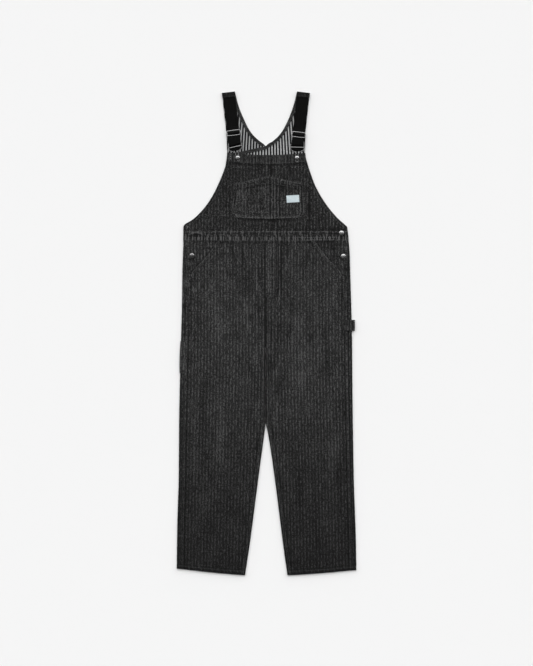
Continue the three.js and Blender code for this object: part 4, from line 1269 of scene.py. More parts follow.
def pocket_facing(side):
    y = mix(POCKET_FOOT_Y + 4, WAIST_Y + 0.6, shares((1.0, 80)))[:, None]
    behind = front_x(side, y) - side.sign * POCKET_UNDERLAP
    x = mix(behind, seam_x(side, y) + side.sign * 0.8, edged(70)[None, :])
    z, wear_and_shade = facing_face(side, x, y)
    cut_cloth(
        f"pocket_facing_{side.name}", f"{side.name}_pocket_facing", (x, y, z), wear_and_shade, (x + 3.0, y),
        on=[f"{side.name}_back_leg"],
    )


# Waistband, bib and pocket

def waistband():
    y = WAIST_Y + shares((0.03, 2), (0.97, 20), (1.0, 2))[:, None] * BAND_HEIGHT
    x = mix(outer_x(RIGHT, y), outer_x(LEFT, y), edged(320, 0.0015)[None, :])
    z, wear_and_shade = band_face(x, y)
    cut_cloth(
        "waistband_cloth", "waistband", (x, y, z), wear_and_shade, (x + 2.0, y),
        BAND_CLOTH, (DENIM_BAND, REVERSE), ["right_front_leg", "left_front_leg"],
    )


def bib():
    rise = shares((1.0, 84))[:, None]
    rise = 0.45 * rise + 0.55 * rise * rise
    across = edged(190, 0.003)[None, :]
    hem_foot = bib_top_y(across) - BAND_HEIGHT
    body_y = mix(BIB_FOOT_Y - 0.6, hem_foot, rise)
    band_y = hem_foot + shares((0.03, 2), (1.0, 13))[1:, None] * BAND_HEIGHT
    y = np.concatenate([body_y, band_y])
    x = mix(bib_x(RIGHT, y), bib_x(LEFT, y), across)
    z, wear_and_shade = bib_face(x, y, np.concatenate([0 * body_y, 1 + 0 * band_y]))
    looks, under = (DENIM_BIB, REVERSE), ["right_back_bib", "left_back_bib"]
    cut_cloth("bib_cloth", "bib", (x, y, z), wear_and_shade, (x, y), CLOTH, looks, under)


def pocket_place(share, rise):
    """Plan of the chest pocket at shares across and up."""
    foot = mix(POCKET["side_foot"], POCKET["foot"], np.sin(math.pi * share) ** 0.5)
    peak = POCKET["peak_share"]
    near = np.where(share < peak, share / peak, (1 - share) / (1 - peak))
    top = mix(POCKET["side_top"], POCKET["peak"], ease(near) * 0.5 + near * 0.5)
    y = mix(foot, top, rise)
    up = (y - POCKET["corner_y"]) / (POCKET["side_top"] - POCKET["corner_y"])
    tuck = POCKET["corner"] * (1 - np.sqrt(1 - clamp(-up / 0.3) ** 2))
    right = mix(POCKET["right"], POCKET["top_right"], clamp(up)) + tuck
    left = mix(POCKET["left"], POCKET["top_left"], clamp(up)) - tuck
    return mix(right, left, share), y


def pocket_edges(share, rise):
    """Painted light and shade of the pocket, partly rubbing, from its turned and stitched edges."""
    from_side = np.minimum(share, 1 - share) * POCKET["width"]
    from_foot, from_top = rise * POCKET["height"], (1 - rise) * POCKET["height"]
    near = np.minimum(from_side, from_foot)
    wear_and_shade = lines(from_side, (0.5, 1.5, 0.5), (4.6, 1.6, -1.2), (9, 2.5, 0.6)) - 0.4 * hump(near, 13, 2.2)
    wear_and_shade = wear_and_shade + lines(from_foot, (3.2, 1.8, 1.3), (0, 1.0, -0.6))
    return wear_and_shade + lines(from_top, (3, 2.2, 1.0), (22, 2.6, -0.8), (0, 1, -0.3)), near, from_top


def chest_pocket():
    rise = shares((0.01, 2), (0.15, 10), (0.99, 40), (1.0, 2))[:, None]
    share = edged(120, 0.006)[None, :]
    x, y = pocket_place(share, rise)
    z, wear_and_shade = pocket_face(x, y)
    edge_wear_and_shade, near, from_top = pocket_edges(share, rise)
    tick = pucker(x + 1.3 * y, 8.0, 1.1)
    # Painted light and shade along the edges, with lighter and darker gathers near the sides, foot and top
    wear_and_shade = wear_and_shade + edge_wear_and_shade + 0.7 * tick * hump(near, 6, 6) + 0.8 * tick * hump(from_top, 12, 10)
    z = z + 0.12 * tick * hump(near, 6, 5) + 0.35 * ease((20 - from_top) / 2) - 0.3 * hump(from_top, 20, 2)
    cut_cloth(
        "chest_pocket_cloth", "chest_pocket", (x, y, z), wear_and_shade, (x + 4.0, y),
        CLOTH + 0.3, (DENIM_POCKET, REVERSE), ["bib"],
    )


def label():
    across = (edged(14, 0.02)[None, :] - 0.5) * LABEL["width"]
    up = (edged(10, 0.03)[:, None] - 0.5) * LABEL["height"]
    x, y = turned((LABEL["x"], LABEL["y"]), LABEL["turn"], across, up)
    z = pocket_face(x, y)[0] + GAP + LABEL["cloth"] + 0.05 * waves(TIGHT_WAVES, x, y)
    looks = (LABEL_CLOTH, LABEL_CLOTH)
    cut_cloth(
        "label_patch", "label", (x, y, z), 0 * x, (across, up), LABEL["cloth"], looks,
        ["chest_pocket"], "label", bulge=0.15,
    )


# Back halves, which end in the shoulder straps

def back_edge(side, y):
    above = at(STRAP_EDGE, side.name, y)
    inset = 2 * ease((STRAP_EDGE["y"][0] - y) / 20)
    lower = np.where(y > BIB_EDGE["y"][0], bib_x(side, y), outer_x(side, y)) - side.sign * inset
    return np.where(y >= STRAP_EDGE["y"][0], above, lower)


def back_under(side, x, y):
    """Height that the left half lies above the floor where it crosses the right one."""
    if side is RIGHT:
        return 0 * x
    return CROSSING_LIFT * ease((neck_x(RIGHT, y) + CROSSING_RAMP + 2 - x) / CROSSING_RAMP)


def strap_y(row, share):
    middle = (TAB["outer"] + TAB["inner"]) / 2
    lean = ease((row - STRAP_TURN_Y) / (middle - STRAP_TURN_Y))
    return row + lean * mix(TAB["outer"] - middle, TAB["inner"] - middle, share)


def fanned(side, x, y):
    """Where a point lies across the cloth of a back half, whose stripes fan out a little downwards."""
    return x / (1 + (NECK_POINT_Y - y) / STRIPE_FAN["reach"]) + STRIPE_FAN[side.name]


def back_bib(side):
    radius = TAB["radius"]
    shoulder = (TAB["outer"] + TAB["inner"]) / 2 - radius
    flat = mix(WAIST_Y - 0.4, shoulder, shares((0.58, 60), (0.68, 32), (1.0, 50)))
    turn = np.radians(np.linspace(-75, 75, 9))
    over = shoulder - shares((1.0, 8)) * (TAB["length"] - radius)
    rows = np.concatenate([flat, shoulder + radius * np.cos(turn), over])[:, None]
    up = np.concatenate([0 * flat, radius * (1 + np.sin(turn)), 2 * radius + 0 * over])[:, None]
    round_turn = shoulder + radius * (turn + math.pi / 2)
    girth = np.concatenate([flat, round_turn, 2 * shoulder + TAB["girth"] - over])[:, None]

    across = edged(56, 0.006)[None, :]
    y = strap_y(rows, across)
    x = mix(back_edge(side, np.minimum(y, TAB["inner"])), neck_x(side, y), across)
    z = back_under(side, x, y) + up + 0.1 * waves(SOFT_WAVES, x, y) * ease((y - 545) / 20) * (up > 0)
    on_tab = (np.arange(len(rows)) - len(rows) + len(over))[:, None] / len(over)
    arc = hump(on_tab, 0.55, 0.22)
    # Painted shade over the right back half and a little painted light over the left; the folded tab painted
    # darker, with a lighter gathered band across it
    shade = -0.3 if side is RIGHT else 0.1
    tab_wear_and_shade = arc * (0.3 * pucker(x, 6.0, 2.0) + 0.55) - 1.2 - shade
    wear_and_shade = ease((up - 0.2 * radius) / radius) * tab_wear_and_shade + shade
    name, node = f"back_half_{side.name}", f"{side.name}_back_bib"
    cut_cloth(name, node, (x, y, z), wear_and_shade, (fanned(side, x, y), girth), looks_up=False)


def neck_facing_top(side, x, y):
    climb = NECK_FACING[side.name]["climb"] * ease((NECK_POINT_Y + 40 - y) / 30)
    return back_under(side, x, y) + LAYER + CLOTH + climb


def neck_facing(side):
    """The facing sewn along the neck edge, on the inside of the back."""
    end = NECK_FACING[side.name]
    down = (1 - (1 - shares((1.0, 90))) ** 1.4)[:, None]
    across = edged(7, 0.04)[None, :]
    y = mix(NECK_FACING["top"], end["end"] + end["slant"] * across, down)
    x, y = beside(NECK_EDGE, side, y, 0.2 + across * NECK_FACING["width"])
    tick = pucker(y, 6.5, 1.0)
    z = neck_facing_top(side, x, y) - 0.25 * hump(across, 0.5, 0.1) + 0.05 * tick
    # Lighter lines along the stitching, painted shade along the neck edge, lighter and darker gathers
    wear_and_shade = lines(across, (0.16, 0.08, 0.35), (0.0, 0.1, -0.3), (0.86, 0.07, 0.25)) + 0.2 * tick
    cut_cloth(
        f"neck_facing_{side.name}", f"{side.name}_neck_facing", (x, y, z), wear_and_shade, (y, across * 9),
        looks=(DENIM_PLAIN, DENIM_PLAIN), on=[f"{side.name}_back_bib"],
    )


# Straps and their hardware

def web_line(brace):
    """Rows of distance down the strap, height and half width, as the webbing is threaded."""
    low = WEB["under"] + WEB["cloth"] / 2
    reach = WIRE + GAP + WEB["cloth"] / 2
    slider, rail, span = brace["slider"], brace["rail"], SLIDER["half_span"]
    way = [(WEB["start"], low), (slider / 2, low), (slider - 24, low)]
    way += [(slider - 18, low + 0.3), (slider - 12, low + 1.2)]
    way += [(slider + span * t, SLIDER["z"] + reach * math.cos(math.pi * t)) for t in np.linspace(-1, 1, 13)]
    way += [(slider + 12, low + 2.9), (slider + 17, low + 4.2)]
    fold = [(rail + d, z, half) for d, z, half in zip(*WEB_FOLD.values())]
    back = [((rail + slider) / 2, 2.3, WEB["half"]), (slider + 2, 2.3, WEB["half"])]
    return [(d, z, WEB["half"]) for d, z in way] + fold + back


def strap_run(points, step, cloth):
    """Columns of a strap's upper face from its middle line, on a smooth curve through the points.

    A point is a distance, a height and perhaps a width; how far along it lies comes last.
    """
    line = np.array(points, float)
    given = lengths_along(line[:, :2])
    away = np.unique(np.concatenate([np.linspace(0, given[-1], int(given[-1] / step)), given]))
    line = np.stack([at({"y": given, "value": column}, "value", away) for column in line.T], axis=1)
    way = unit(np.gradient(line[:, :2], axis=0))
    line[:, :2] += np.stack([-way[:, 1], way[:, 0]], axis=1) * cloth / 2
    return [column[:, None] for column in (*line.T, away)]


def webbing(brace):
    down, z, half, girth = strap_run(web_line(brace), 2.2, WEB["cloth"])
    across = np.concatenate([[-1, -0.985, -0.95], np.linspace(-0.9, 0.9, 13), [0.95, 0.985, 1]])[None, :]
    tilt = math.tan(math.radians(brace["turn"] - brace["lean"]))
    side, span = brace["side"].name, SLIDER["half_span"]
    share = ease((down - brace["slider"] - span) / (brace["rail"] - brace["slider"] - 2 * span))
    x, y = turned(brace["top"], brace["lean"], across * half, across * half * tilt * share - down)
    cut_cloth(
        f"webbing_{side}", f"{side}_webbing", (x, y, z), 0 * x, (across * WEB["half"], girth),
        WEB["cloth"], (WEBBING, WEBBING), [f"{side}_back_bib"], "webbing", bulge=0.35,
    )


def primitive(add, name, **size):
    """A new primitive, alone in the selection."""
    bpy.ops.object.select_all(action="DESELECT")
    add(**size)
    bpy.context.object.name = name
    return bpy.context.object


def settle(piece, x, y, z, degrees=0.0):
    """Bakes a place and a turn about Z into a piece's mesh."""
    place = Matrix.Translation((x * MM, y * MM, z * MM)) @ Matrix.Rotation(math.radians(degrees), 4, "Z")
    piece.data.transform(place @ piece.matrix_world)
    piece.matrix_world = Matrix.Identity(4)


def bent_wire(name, points, radius):
    """A closed round wire along points in the plane, made from a Bezier primitive."""
    curve = primitive(bpy.ops.curve.primitive_bezier_circle_add, name).data
    spline = curve.splines[0]
    spline.bezier_points.add(len(points) - len(spline.bezier_points))
    for knot, (x, y) in zip(spline.bezier_points, points):
        knot.co = (x * MM, y * MM, 0)
        knot.handle_left_type = knot.handle_right_type = "AUTO"
    spline.use_cyclic_u = True
    spline.resolution_u = 6
    curve.dimensions = "3D"
    curve.bevel_depth = radius * MM
    curve.bevel_resolution = 4
    bpy.ops.object.convert(target="MESH")
    return bpy.context.object


def straight_wire(name, half, y, radius):
    """A bar across at y, from a cylinder with its ends bevelled."""
    bar = primitive(
        bpy.ops.mesh.primitive_cylinder_add, name, vertices=20, radius=radius * MM,
        depth=2 * half * MM, location=(0, y * MM, 0), rotation=(0, math.pi / 2, 0),
    )
    bevel = bar.modifiers.new("ends", "BEVEL")
    bevel.width = 0.3 * MM
    bevel.segments = 2
    bpy.ops.object.modifier_apply(modifier=bevel.name)
    return bar


def joined(name, parts, materials):
    """One smooth object from several parts, each with its own material."""
    bpy.ops.object.select_all(action="DESELECT")
    for part, material in zip(parts, materials):
        part.data.materials.clear()
        part.data.materials.append(material)
        part.select_set(True)
    bpy.context.view_layer.objects.active = parts[0]
    bpy.ops.object.join()
    whole = bpy.context.object
    whole.name = name
    bpy.ops.object.transform_apply(location=True, rotation=True, scale=True)
    bpy.ops.object.shade_smooth_by_angle(angle=math.radians(40))
    return whole


def slider(brace):
    half_width, span, corner = SLIDER["half_width"], SLIDER["half_span"], SLIDER["corner"]
    points = []
    for sign_x, sign_y in ((1, 1), (1, -1), (-1, -1), (-1, 1)):
        for angle in (80, 45, 10) if sign_x == sign_y else (10, 45, 80):
            bend = math.radians(angle)
            x = sign_x * (half_width - corner + corner * math.cos(bend))
            points.append((x, sign_y * (span - corner + corner * math.sin(bend))))
    outline = bent_wire("slider_outline", points, WIRE)
    middle = straight_wire("slider_bar", half_width, 0, WIRE * 0.9)
    whole = joined(f"slider_{brace['side'].name}", [outline, middle], [NICKEL, NICKEL])
    x, y = turned(brace["top"], brace["lean"], 0, -brace["slider"])
    settle(whole, x, y, SLIDER["z"], brace["lean"])
    dress(whole, "wire", f"{brace['side'].name}_slider")


def buckle(brace):
    half = list(zip(BUCKLE_WIRE["x"], BUCKLE_WIRE["y"]))
    points = half + [(0.0, BUCKLE_TIP_Y)] + [(-x, y) for x, y in reversed(half)]
    outline = bent_wire("buckle_outline", points, WIRE)
    rail = straight_wire("buckle_rail", BUCKLE_WIRE["x"][1], RAIL_Y, WIRE)
    # The bent wire in the darker, painted-shade copy of the nickel, the rail in the bright one
    whole = joined(f"buckle_{brace['side'].name}", [outline, rail], [SHADED_NICKEL, NICKEL])
    x, y = brace["button"]
    settle(whole, x, y - brace["slack"], BUCKLE_Z, brace["turn"])
    dress(whole, "wire", f"{brace['side'].name}_buckle")


# Turned profile of a tack button's domed head: share of its radius, and height above the neck
BUTTON_HEAD = table("share rise", [
    (0.86, 0.2),
    (0.94, 0.45),
    (0.99, 1.0),
    (1.0, 1.45),
    (0.95, 2.0),
    (0.86, 2.38),
    (0.74, 2.64),
    (0.6, 2.86),
    (0.44, 3.04),
    (0.28, 3.16),
    (0.13, 3.23),
    (0.04, 3.25),
])


def turned_button(head_radius):
    """A tack button at the origin, extruded ring by ring from its shank."""
    radius, height, neck = BUTTON["shank"], 0.0, BUTTON["neck"]
    add = bpy.ops.mesh.primitive_circle_add
    made = primitive(add, "button_pattern", vertices=40, radius=radius * MM, fill_type="NGON")
    bpy.ops.object.mode_set(mode="EDIT")
    bpy.ops.mesh.select_all(action="SELECT")
    head = [(head_radius * share, neck + rise) for share, rise in zip(*BUTTON_HEAD.values())]
    for next_radius, next_height in [(radius, neck)] + head:
        rise = (0, 0, (next_height - height) * MM)
        bpy.ops.mesh.extrude_region_move(TRANSFORM_OT_translate={"value": rise})
        size = next_radius / radius
        bpy.ops.transform.resize(value=(size, size, 1), center_override=(0, 0, 0))
        radius, height = next_radius, next_height
    bpy.ops.mesh.select_all(action="SELECT")
    bpy.ops.mesh.normals_make_consistent(inside=False)
    bpy.ops.object.mode_set(mode="OBJECT")
    made.data.materials.append(NICKEL)
    bpy.ops.object.shade_smooth_by_angle(angle=math.radians(50))
    return made


def button(pattern, node, x, y, seat, neck, tilt):
    """A copy of the button with its own mesh, tilted, with its shank lengthened to the neck."""
    copy = pattern.copy()
    copy.data = pattern.data.copy()
    copy.name = copy.data.name = node.replace("button", "tack")
    bpy.context.scene.collection.objects.link(copy)
    for vertex in copy.data.vertices:
        if vertex.co.z > 1.0 * MM:
            vertex.co.z += (neck - BUTTON["neck"]) * MM
    copy.data.transform(Matrix.Rotation(math.radians(tilt), 4, "X"))
    settle(copy, x, y, seat + BUTTON["shank"] * math.sin(math.radians(tilt)))
    dress(copy, "wire", node)


def buttons():
    pattern = turned_button(BUTTON["bib_radius"])
    seat = FRONT_UNDER + CLOTH + HEM_TURNING
    for brace in BRACES:
        node = f"button_bib_{brace['side'].name}"
        button(pattern, node, *brace["button"], seat, BUTTON["bib_neck"], BUTTON["bib_tilt"])
    bpy.data.objects.remove(pattern)
    pattern = turned_button(BUTTON["side_radius"])
    for made in SIDE_BUTTONS:
        x, y, side = made["x"], made["y"], RIGHT if made["x"] < 0 else LEFT
        face = band_face(x, y)[0] if made["on"] == "band" else facing_face(side, x, y)[0]
        button(pattern, made["name"], x, y, float(face), BUTTON["side_neck"], made["tilt"])
    bpy.data.objects.remove(pattern)


# Side details

def rule_pocket():
    """The narrow patch over the right side fold, on the back leg's own points moved out."""
    side, top, foot = RIGHT, RULE_POCKET["top"], RULE_POCKET["foot"]
    up = shares((0.02, 2), (0.98, 28), (1.0, 2))[:, None]
    y = mix(foot, top, up)
    out = LAYER + RULE_POCKET["flare"] * np.sin(math.pi * up)
    start = outer_x(side, y) - side.sign * FOLD_REACH
    flat = shares((0.03, 2), (1.0, 8))[None, :]
    x_flat = mix(seam_x(side, y) + side.sign * RULE_POCKET["clear"], start, flat)
    angles = np.radians([68, 45, 22, 0, -16, -30])[None, :]
    half = strip_face(side, start, y)[0] / 2
    x_bend = start + side.sign * (FOLD_REACH + out) * np.cos(angles)
    z_bend = np.maximum(RULE_POCKET["off_floor"], half + (half + out) * np.sin(angles))
    x = np.concatenate([x_flat, x_bend], axis=1)
    z = np.concatenate([strip_face(side, x_flat, y)[0] + out, z_bend], axis=1)
    tick = pucker(y, 9.0, 0.8)
    z = z + 0.2 * tick * hump(x, -247, 6) + 0.4 * ease((y - top + 11) / 2)
    # Lighter gathers and painted shade along the patch's top and foot edges; a rubbed lighter patch over the
    # fold
    wear_and_shade = 0.35 * tick + 0.2 + lines(y, (top, 2, -0.4), (foot, 2, -0.4))
    wear_and_shade = wear_and_shade + 0.5 * hump(x, -248, 7) * hump(y, -102, 24)
    grain = (5.5 - girth_across(x, z), y)
    cut_cloth("rule_pocket_cloth", "rule_pocket", (x, y, z), wear_and_shade, grain, on=["right_back_leg"])


def hammer_loop():
    """The strap in the left side seam, bowing past the fold and back to the floor."""
    start, middle_y, cloth = HAMMER_LOOP["start"], HAMMER_LOOP["y"], HAMMER_LOOP["cloth"]
    low = cloth / 2
    top = float(strip_face(LEFT, np.array(start), np.array(middle_y))[0]) + GAP + low
    radius = (top - low) / 2
    bend = HAMMER_LOOP["reach"] - radius - low
    line = [(start, top), (mix(start, bend, 0.5), top + 0.3), (bend, top)]
    for t in np.linspace(0, math.pi, 9)[1:]:
        line.append((bend + radius * math.sin(t), low + radius + radius * math.cos(t)))
    line.append((float(outer_x(LEFT, middle_y)) + 1.1, low))
    x, z, girth = strap_run(line, 1.4, cloth)
    across = (edged(16, 0.02)[None, :] - 0.5) * HAMMER_LOOP["height"]
    # A lighter line by the stitching and painted shade along the edges, the loop a little darker
    wear_and_shade = lines(np.abs(across), (12.5, 1.2, 0.35), (15, 0.8, -0.35)) - 0.25 + 0 * x
    cut_cloth(
        "hammer_loop_cloth", "hammer_loop", (x, middle_y + across, z), wear_and_shade, (girth, across),
        cloth, (DENIM, DENIM), ["left_back_leg"],
    )


# Sewing

def tube_walls(rings, sides):
    """The quads round a tube, each as an array of its corners' numbers, ring by ring."""
    walls = []
    for low in range(0, (rings - 1) * sides, sides):
        for k in range(sides):
            after, high = (k + 1) % sides, low + sides
            walls.append(np.array([low + k, low + after, high + after, high + k]))
    return walls


# A stitch is a closed tube of rings, each with its share of the length, its girth and its rise
STITCH_RINGS = ((0.0, 0.45, -0.9), (0.27, 1.0, 0.4), (0.73, 1.0, 0.4), (1.0, 0.45, -0.9))
STITCH_SIDES = 5
STITCH_WALLS = tube_walls(len(STITCH_RINGS), STITCH_SIDES)
FIRST_RING = np.arange(STITCH_SIDES)
STITCH_ENDS = [FIRST_RING[::-1], FIRST_RING + (len(STITCH_RINGS) - 1) * STITCH_SIDES]


def top_of(face, *given, over=0.0):
    """The height of a cloth's face, and a little over it, from x and y alone."""
    return lambda x, y: face(*given, x, y)[0] + over


class Sewing:
    """Collects stitches on faces of the cloth into one mesh."""

    def __init__(self):
        self.points = []
        self.faces = []
        self.slots = []
        self.count = 0

    def row(
        self, height, x, y, thread=0,
        pitch=STITCH["pitch"], length=STITCH["length"], radius=STITCH["radius"],
    ):
        """A row of stitches along x and y; height gives the cloth's face there."""
        line = np.stack(np.broadcast_arrays(x, y), axis=1).astype(float)
        away = lengths_along(line)
        spaced = np.linspace(0, away[-1], max(2, int(round(away[-1] / pitch)) + 1))
        holes = np.stack([np.interp(spaced, away, column) for column in line.T], axis=1)
        self.between(holes[:-1], holes[1:], height, length / pitch, radius, thread)

    def between(self, a, b, height, fill, radius, thread):
        """One stitch from each a towards its b, over a share of the way, in thread 0 or the lighter 1."""
        way = b - a
        cross = unit(way)[:, ::-1] * (-1, 1)
        made = []
        for share, girth, rise in STITCH_RINGS:
            centre = a + way * (0.5 + (share - 0.5) * fill)
            z = height(*centre.T) - STITCH["sunk"] + rise * radius
            for angle in 2 * math.pi * np.arange(STITCH_SIDES) / STITCH_SIDES:
                spot = centre + cross * (radius * girth * math.cos(angle))
                made.append(np.column_stack([spot, z + radius * girth * math.sin(angle)]))
        made = np.stack(made, axis=1)
        total, per = made.shape[:2]
        base = self.count + np.arange(total)[:, None] * per
        for shape in STITCH_WALLS + STITCH_ENDS:
            self.faces += (base + shape).tolist()
        self.slots += [thread] * (total * (len(STITCH_WALLS) + len(STITCH_ENDS)))
        self.points.append(made.reshape(-1, 3))
        self.count += total * per

    def bartack(self, x, y, degrees, length, width, height, thread=0):
        """A dense zigzag that holds the end of a seam."""
        along = np.linspace(-length / 2, length / 2, int(length / 0.55))
        swing = np.where(np.arange(len(along)) % 2 == 0, -width / 2, width / 2)
        spots = np.stack(turned((x, y), degrees, along, swing), axis=1)
        self.between(spots[:-1], spots[1:], height, 1.0, 0.26, thread)

    def finish(self, name):
        dress(new_piece(name, np.concatenate(self.points), self.faces, THREADS, self.slots), "denim")


def leg_sewing(side):
    sewing, sign = Sewing(), side.sign
    strip, front = top_of(strip_face, side), top_of(front_face, side)
    ys = np.linspace(150, (side.hem_outer + side.hem_inner) / 2 + 14, 200)
    for away in (1.3, 7.2):
        sewing.row(strip, seam_x(side, ys) + sign * away, ys)
    ys = np.linspace(CROTCH_Y - 6, side.hem_inner + 3, 200)
    for away in (6.0, 11.3):
        sewing.row(front, inner_x(side, ys) + sign * away, ys)
    xs = np.linspace(front_x(side, -712) - sign * 1.0, inner_x(side, -720) + sign * 4.0, 60)
    sewing.row(front, xs, hem_y(side, xs) + HEM_DEPTH - 1.6)
    xs = np.linspace(outer_x(side, -706) - sign * 3.6, seam_x(side, -712) + sign * 0.5, 20)
    sewing.row(strip, xs, hem_y(side, xs) + HEM_DEPTH - 1.6)
    ys = np.linspace(POCKET_FOOT_Y + 5, WAIST_Y - 1, 100)
    for away in (2.0, 8.2):
        sewing.row(front, front_x(side, ys) - sign * away, ys)
    ys = np.linspace(POCKET_FOOT_Y + 16, WAIST_Y - 1, 60)
    sewing.row(top_of(facing_face, side), seam_x(side, ys) - sign * 2.2, ys)
    foot_x, top_x = front_x(side, POCKET_FOOT_Y + 6) - sign * 4, front_x(side, WAIST_Y - 4) - sign * 6
    sewing.bartack(foot_x, POCKET_FOOT_Y + 5, 90 - sign * 25, 9, 2.4, front)
    sewing.bartack(top_x, WAIST_Y - 5, 90, 8, 2.4, front)
    tack_y = 120 if side is LEFT else 112
    sewing.bartack(seam_x(side, tack_y) + sign * 4.5, tack_y, 0, 8, 2.2, strip)
    sewing.finish(f"sewing_leg_{side.name}")


def fly_sewing():
    sewing, front = Sewing(), top_of(front_face, LEFT)
    for x in (-1.5, 4.0):
        sewing.row(front, x, (WAIST_Y - 1, FLY["foot"] + 6))
    turn = np.linspace(0, math.pi / 2, 16)
    for reach, drop in ((27.0, 30.0), (33.0, 35.4)):
        x, y = 4 + (reach - 4) * np.cos(turn), FLY["curve_y"] - drop * np.sin(turn)
        sewing.row(front, np.append(reach, x), np.append(WAIST_Y - 1, y))
    for x in (3.0, 8.4):
        sewing.row(front, x, (FLY["foot"] - 8, CROTCH_Y + 2))
    sewing.bartack(1.5, FLY["foot"] + 4, 20, 9, 2.4, front)
    sewing.bartack(31, FLY["curve_y"] - 6, 60, 7, 2.2, front)
    sewing.bartack(1.5, CROTCH_Y + 6, 90, 8, 2.4, front)
    sewing.finish("sewing_fly")


def band_sewing():
    sewing, band, inset = Sewing(), top_of(band_face), 5.0
    for away in (1.8, 7.4, BAND_HEIGHT - 2.2):
        y = WAIST_Y + away
        sewing.row(band, np.linspace(outer_x(RIGHT, y) + inset, outer_x(LEFT, y) - inset, 240), y)
    light = {"pitch": 6.2, "length": 3.4, "thread": 1}
    sewing.row(band, (88, 208), (WAIST_Y + 8.8, WAIST_Y + 9.6), **light)
    sewing.row(band, (112, 236), WAIST_Y + 1.2, **light)
    for side in SIDES:
        x = outer_x(side, WAIST_Y + 13) - side.sign * inset
        sewing.row(band, x, (WAIST_Y + 2, WAIST_Y + BAND_HEIGHT - 2.5))
    sewing.finish("sewing_waistband")


def bib_sewing():
    sewing, face = Sewing(), top_of(bib_face)
    top = lambda x, y: bib_face(x, y, 1.0)[0]
    edge = lambda x, y: bib_face(x, y, ease(y - bib_top_y(0.08) + BAND_HEIGHT))[0]
    ys = np.linspace(BIB_FOOT_Y + 12, 540, 240)
    for side in SIDES:
        for away in (1.6, 7.2):
            x, y = beside(BIB_EDGE, side, ys, -away)
            keep = y < bib_top_y(0.05) - 2
            sewing.row(edge, x[keep], y[keep])
    share = np.linspace(0.035, 0.965, 120)
    for away in (2.0, BAND_HEIGHT - 2.0):
        y = bib_top_y(share) - away
        sewing.row(top, mix(bib_x(RIGHT, y), bib_x(LEFT, y), share), y)
    for x in (-104, -70, 72, 110):
        sewing.row(face, x, (512, 499))
    for ends in ((-104, -70), (72, 110)):
        sewing.row(face, ends, 498.5, pitch=9.0, length=5.0, radius=0.34, thread=1)
        sewing.row(face, ends, (504, 500))
    for y in (538.0, 531.5, 524.0):
        sewing.bartack(-108.0, y, 90, 3.4, 3.0, top, 1)
    sewing.bartack(-237.0, 318.6, 70, 7.0, 3.2, face, 1)
    sewing.finish("sewing_bib")


def pocket_sewing():
    sewing, face, top = Sewing(), top_of(pocket_face, over=0.05), top_of(pocket_face, over=0.3)
    for away in (2.0, 8.0):
        edge, foot = away / POCKET["width"], away / POCKET["height"]
        down = np.linspace(0.985, foot, 60)
        across = np.linspace(edge, 1 - edge, 120)[1:-1]
        share = np.concatenate([edge + 0 * down, across, 1 - edge + 0 * down])
        rise = np.concatenate([down, foot + 0 * across, down[::-1]])
        sewing.row(face, *pocket_place(share, rise))
    for away in (2.2, 18.0):
        sewing.row(top, *pocket_place(np.linspace(0.02, 0.98, 120), 1 - away / POCKET["height"]))
    for x in POCKET_DIVIDER:
        sewing.row(face, x, (POCKET["foot"] + 3, 464))
    sewing.bartack(44.5, 459, 60, 7, 2.6, top, 1)
    sewing.bartack(-92, 448, 100, 7, 2.2, top)
    sewing.bartack(104, 447, 90, 7, 2.2, top)
    across = (LABEL["width"] / 2 - 1.2) * np.array([-1, 1, 1, -1, -1])
    up = (LABEL["height"] / 2 - 1.2) * np.array([-1, -1, 1, 1, -1])
    x, y = turned((LABEL["x"], LABEL["y"]), LABEL["turn"], across, up)
    patch = top_of(pocket_face, over=GAP + LABEL["cloth"])
    sewing.row(patch, x, y, pitch=2.2, length=1.7, radius=0.16)
    sewing.finish("sewing_pocket")


def back_sewing():
    sewing = Sewing()
    for side in SIDES:
        facing = lambda x, y: neck_facing_top(side, x, y)
        ys = np.linspace(NECK_FACING["top"] - 12, NECK_FACING[side.name]["end"] + 3, 160)
        for away in (1.6, 7.8):
            sewing.row(facing, *beside(NECK_EDGE, side, ys, away))
    for brace in BRACES:
        for down in (5.0, 11.5):
            x, y = turned(brace["top"], brace["lean"], np.linspace(-16.5, 16.5, 12), -down)
            sewing.row(lambda x, y: 2 * TAB["radius"] + 0 * x, x, y)
    sewing.finish("sewing_back")


def side_sewing():
    sewing, sign, inset = Sewing(), RIGHT.sign, RULE_POCKET["clear"] + 1.8
    rule = top_of(strip_face, RIGHT, over=LAYER + 0.1)
    ys = np.linspace(RULE_POCKET["foot"] + 2, RULE_POCKET["top"] - 2, 40)
    sewing.row(rule, seam_x(RIGHT, ys) + sign * inset, ys)
    for y in (RULE_POCKET["foot"] + 1.8, RULE_POCKET["top"] - 9):
        sewing.row(rule, (seam_x(RIGHT, y) + sign * inset, outer_x(RIGHT, y) - sign * 3), y)
    loop = top_of(strip_face, LEFT, over=GAP + HAMMER_LOOP["cloth"] + 0.1)
    start, middle, reach = HAMMER_LOOP["start"] + 3, HAMMER_LOOP["y"], HAMMER_LOOP["height"] / 2 - 2.2
    for y in (middle - reach, middle + reach):
        sewing.row(loop, (start, HAMMER_LOOP["sewn_to"]), y)
    sewing.row(loop, start, (middle - 12, middle + 12))
    sewing.finish("sewing_sides")


# Studio

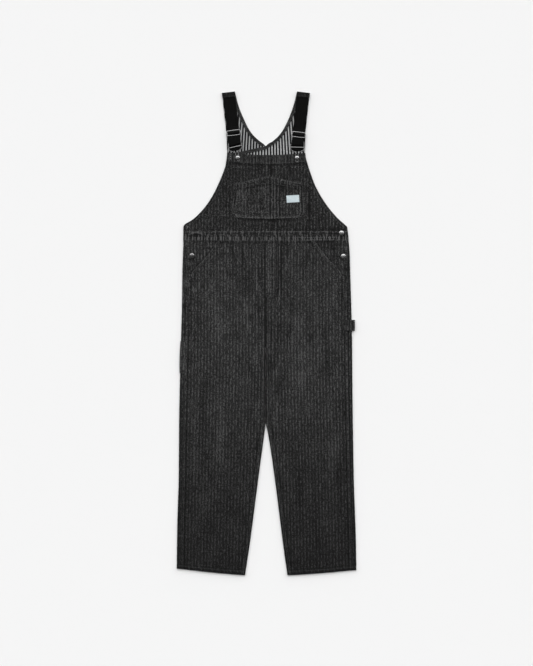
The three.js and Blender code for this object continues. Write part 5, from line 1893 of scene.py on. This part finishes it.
def add_camera():
    half_tall = PHOTO_TALL_PIXELS * MM_PER_PIXEL / 2
    distance = half_tall * LENS / (SENSOR / 2)
    data = bpy.data.cameras.new("camera")
    data.lens, data.sensor_width = LENS, SENSOR
    data.clip_end = 100
    camera = bpy.data.objects.new("camera", data)
    x, y, z = VIEW_MIDDLE
    camera.location = (x * MM, y * MM, (z + distance) * MM)
    bpy.context.scene.collection.objects.link(camera)
    bpy.context.scene.camera = camera


def add_floor():
    floor = primitive(bpy.ops.mesh.primitive_plane_add, "floor", size=40, location=(0, 0, -0.0003))
    material, tree, shader = new_material("floor_paper")
    feed(tree, shader, Base_Color=(0.85, 0.85, 0.85, 1), Roughness=1.0, Specular_IOR_Level=0.0)
    floor.data.materials.append(material)


# Studio wall from the feet to the shoulders as (start, end, dark, bright), and the key lamp
WALL = (0.04, 0.2, 0.07, 2.165)
KEY = {"energy": 0.5, "spread": 120, "turn": (-38, -8, 0)}


def add_light():
    """A bright studio wall beyond the shoulders and a dark one at the feet, with a soft key lamp."""
    world = bpy.data.worlds.new("studio")
    world.use_nodes = True
    tree = world.node_tree
    way = shader_node(tree, "ShaderNodeTexCoord").outputs["Generated"]
    wall = remapped(tree, xyz(tree, way)[1], *WALL)
    feed(tree, tree.nodes["Background"], i0=(1, 1, 1, 1), i1=wall)
    bpy.context.scene.world = world
    data = bpy.data.lights.new("key", "SUN")
    data.energy = KEY["energy"]
    data.angle = math.radians(KEY["spread"])
    lamp = bpy.data.objects.new("key", data)
    lamp.rotation_euler = np.radians(KEY["turn"])
    bpy.context.scene.collection.objects.link(lamp)
    bpy.context.scene.view_settings.view_transform = "Standard"


add_camera()
add_floor()
add_light()

for side in SIDES:
    for make in (back_leg, front_leg, pocket_facing, back_bib, neck_facing, leg_sewing):
        make(side)
for make in (waistband, bib, chest_pocket, label):
    make()
for brace in BRACES:
    for make in (webbing, slider, buckle):
        make(brace)
for make in (buttons, rule_pocket, hammer_loop):
    make()
for sew in (fly_sewing, band_sewing, bib_sewing, pocket_sewing, back_sewing, side_sewing):
    sew()
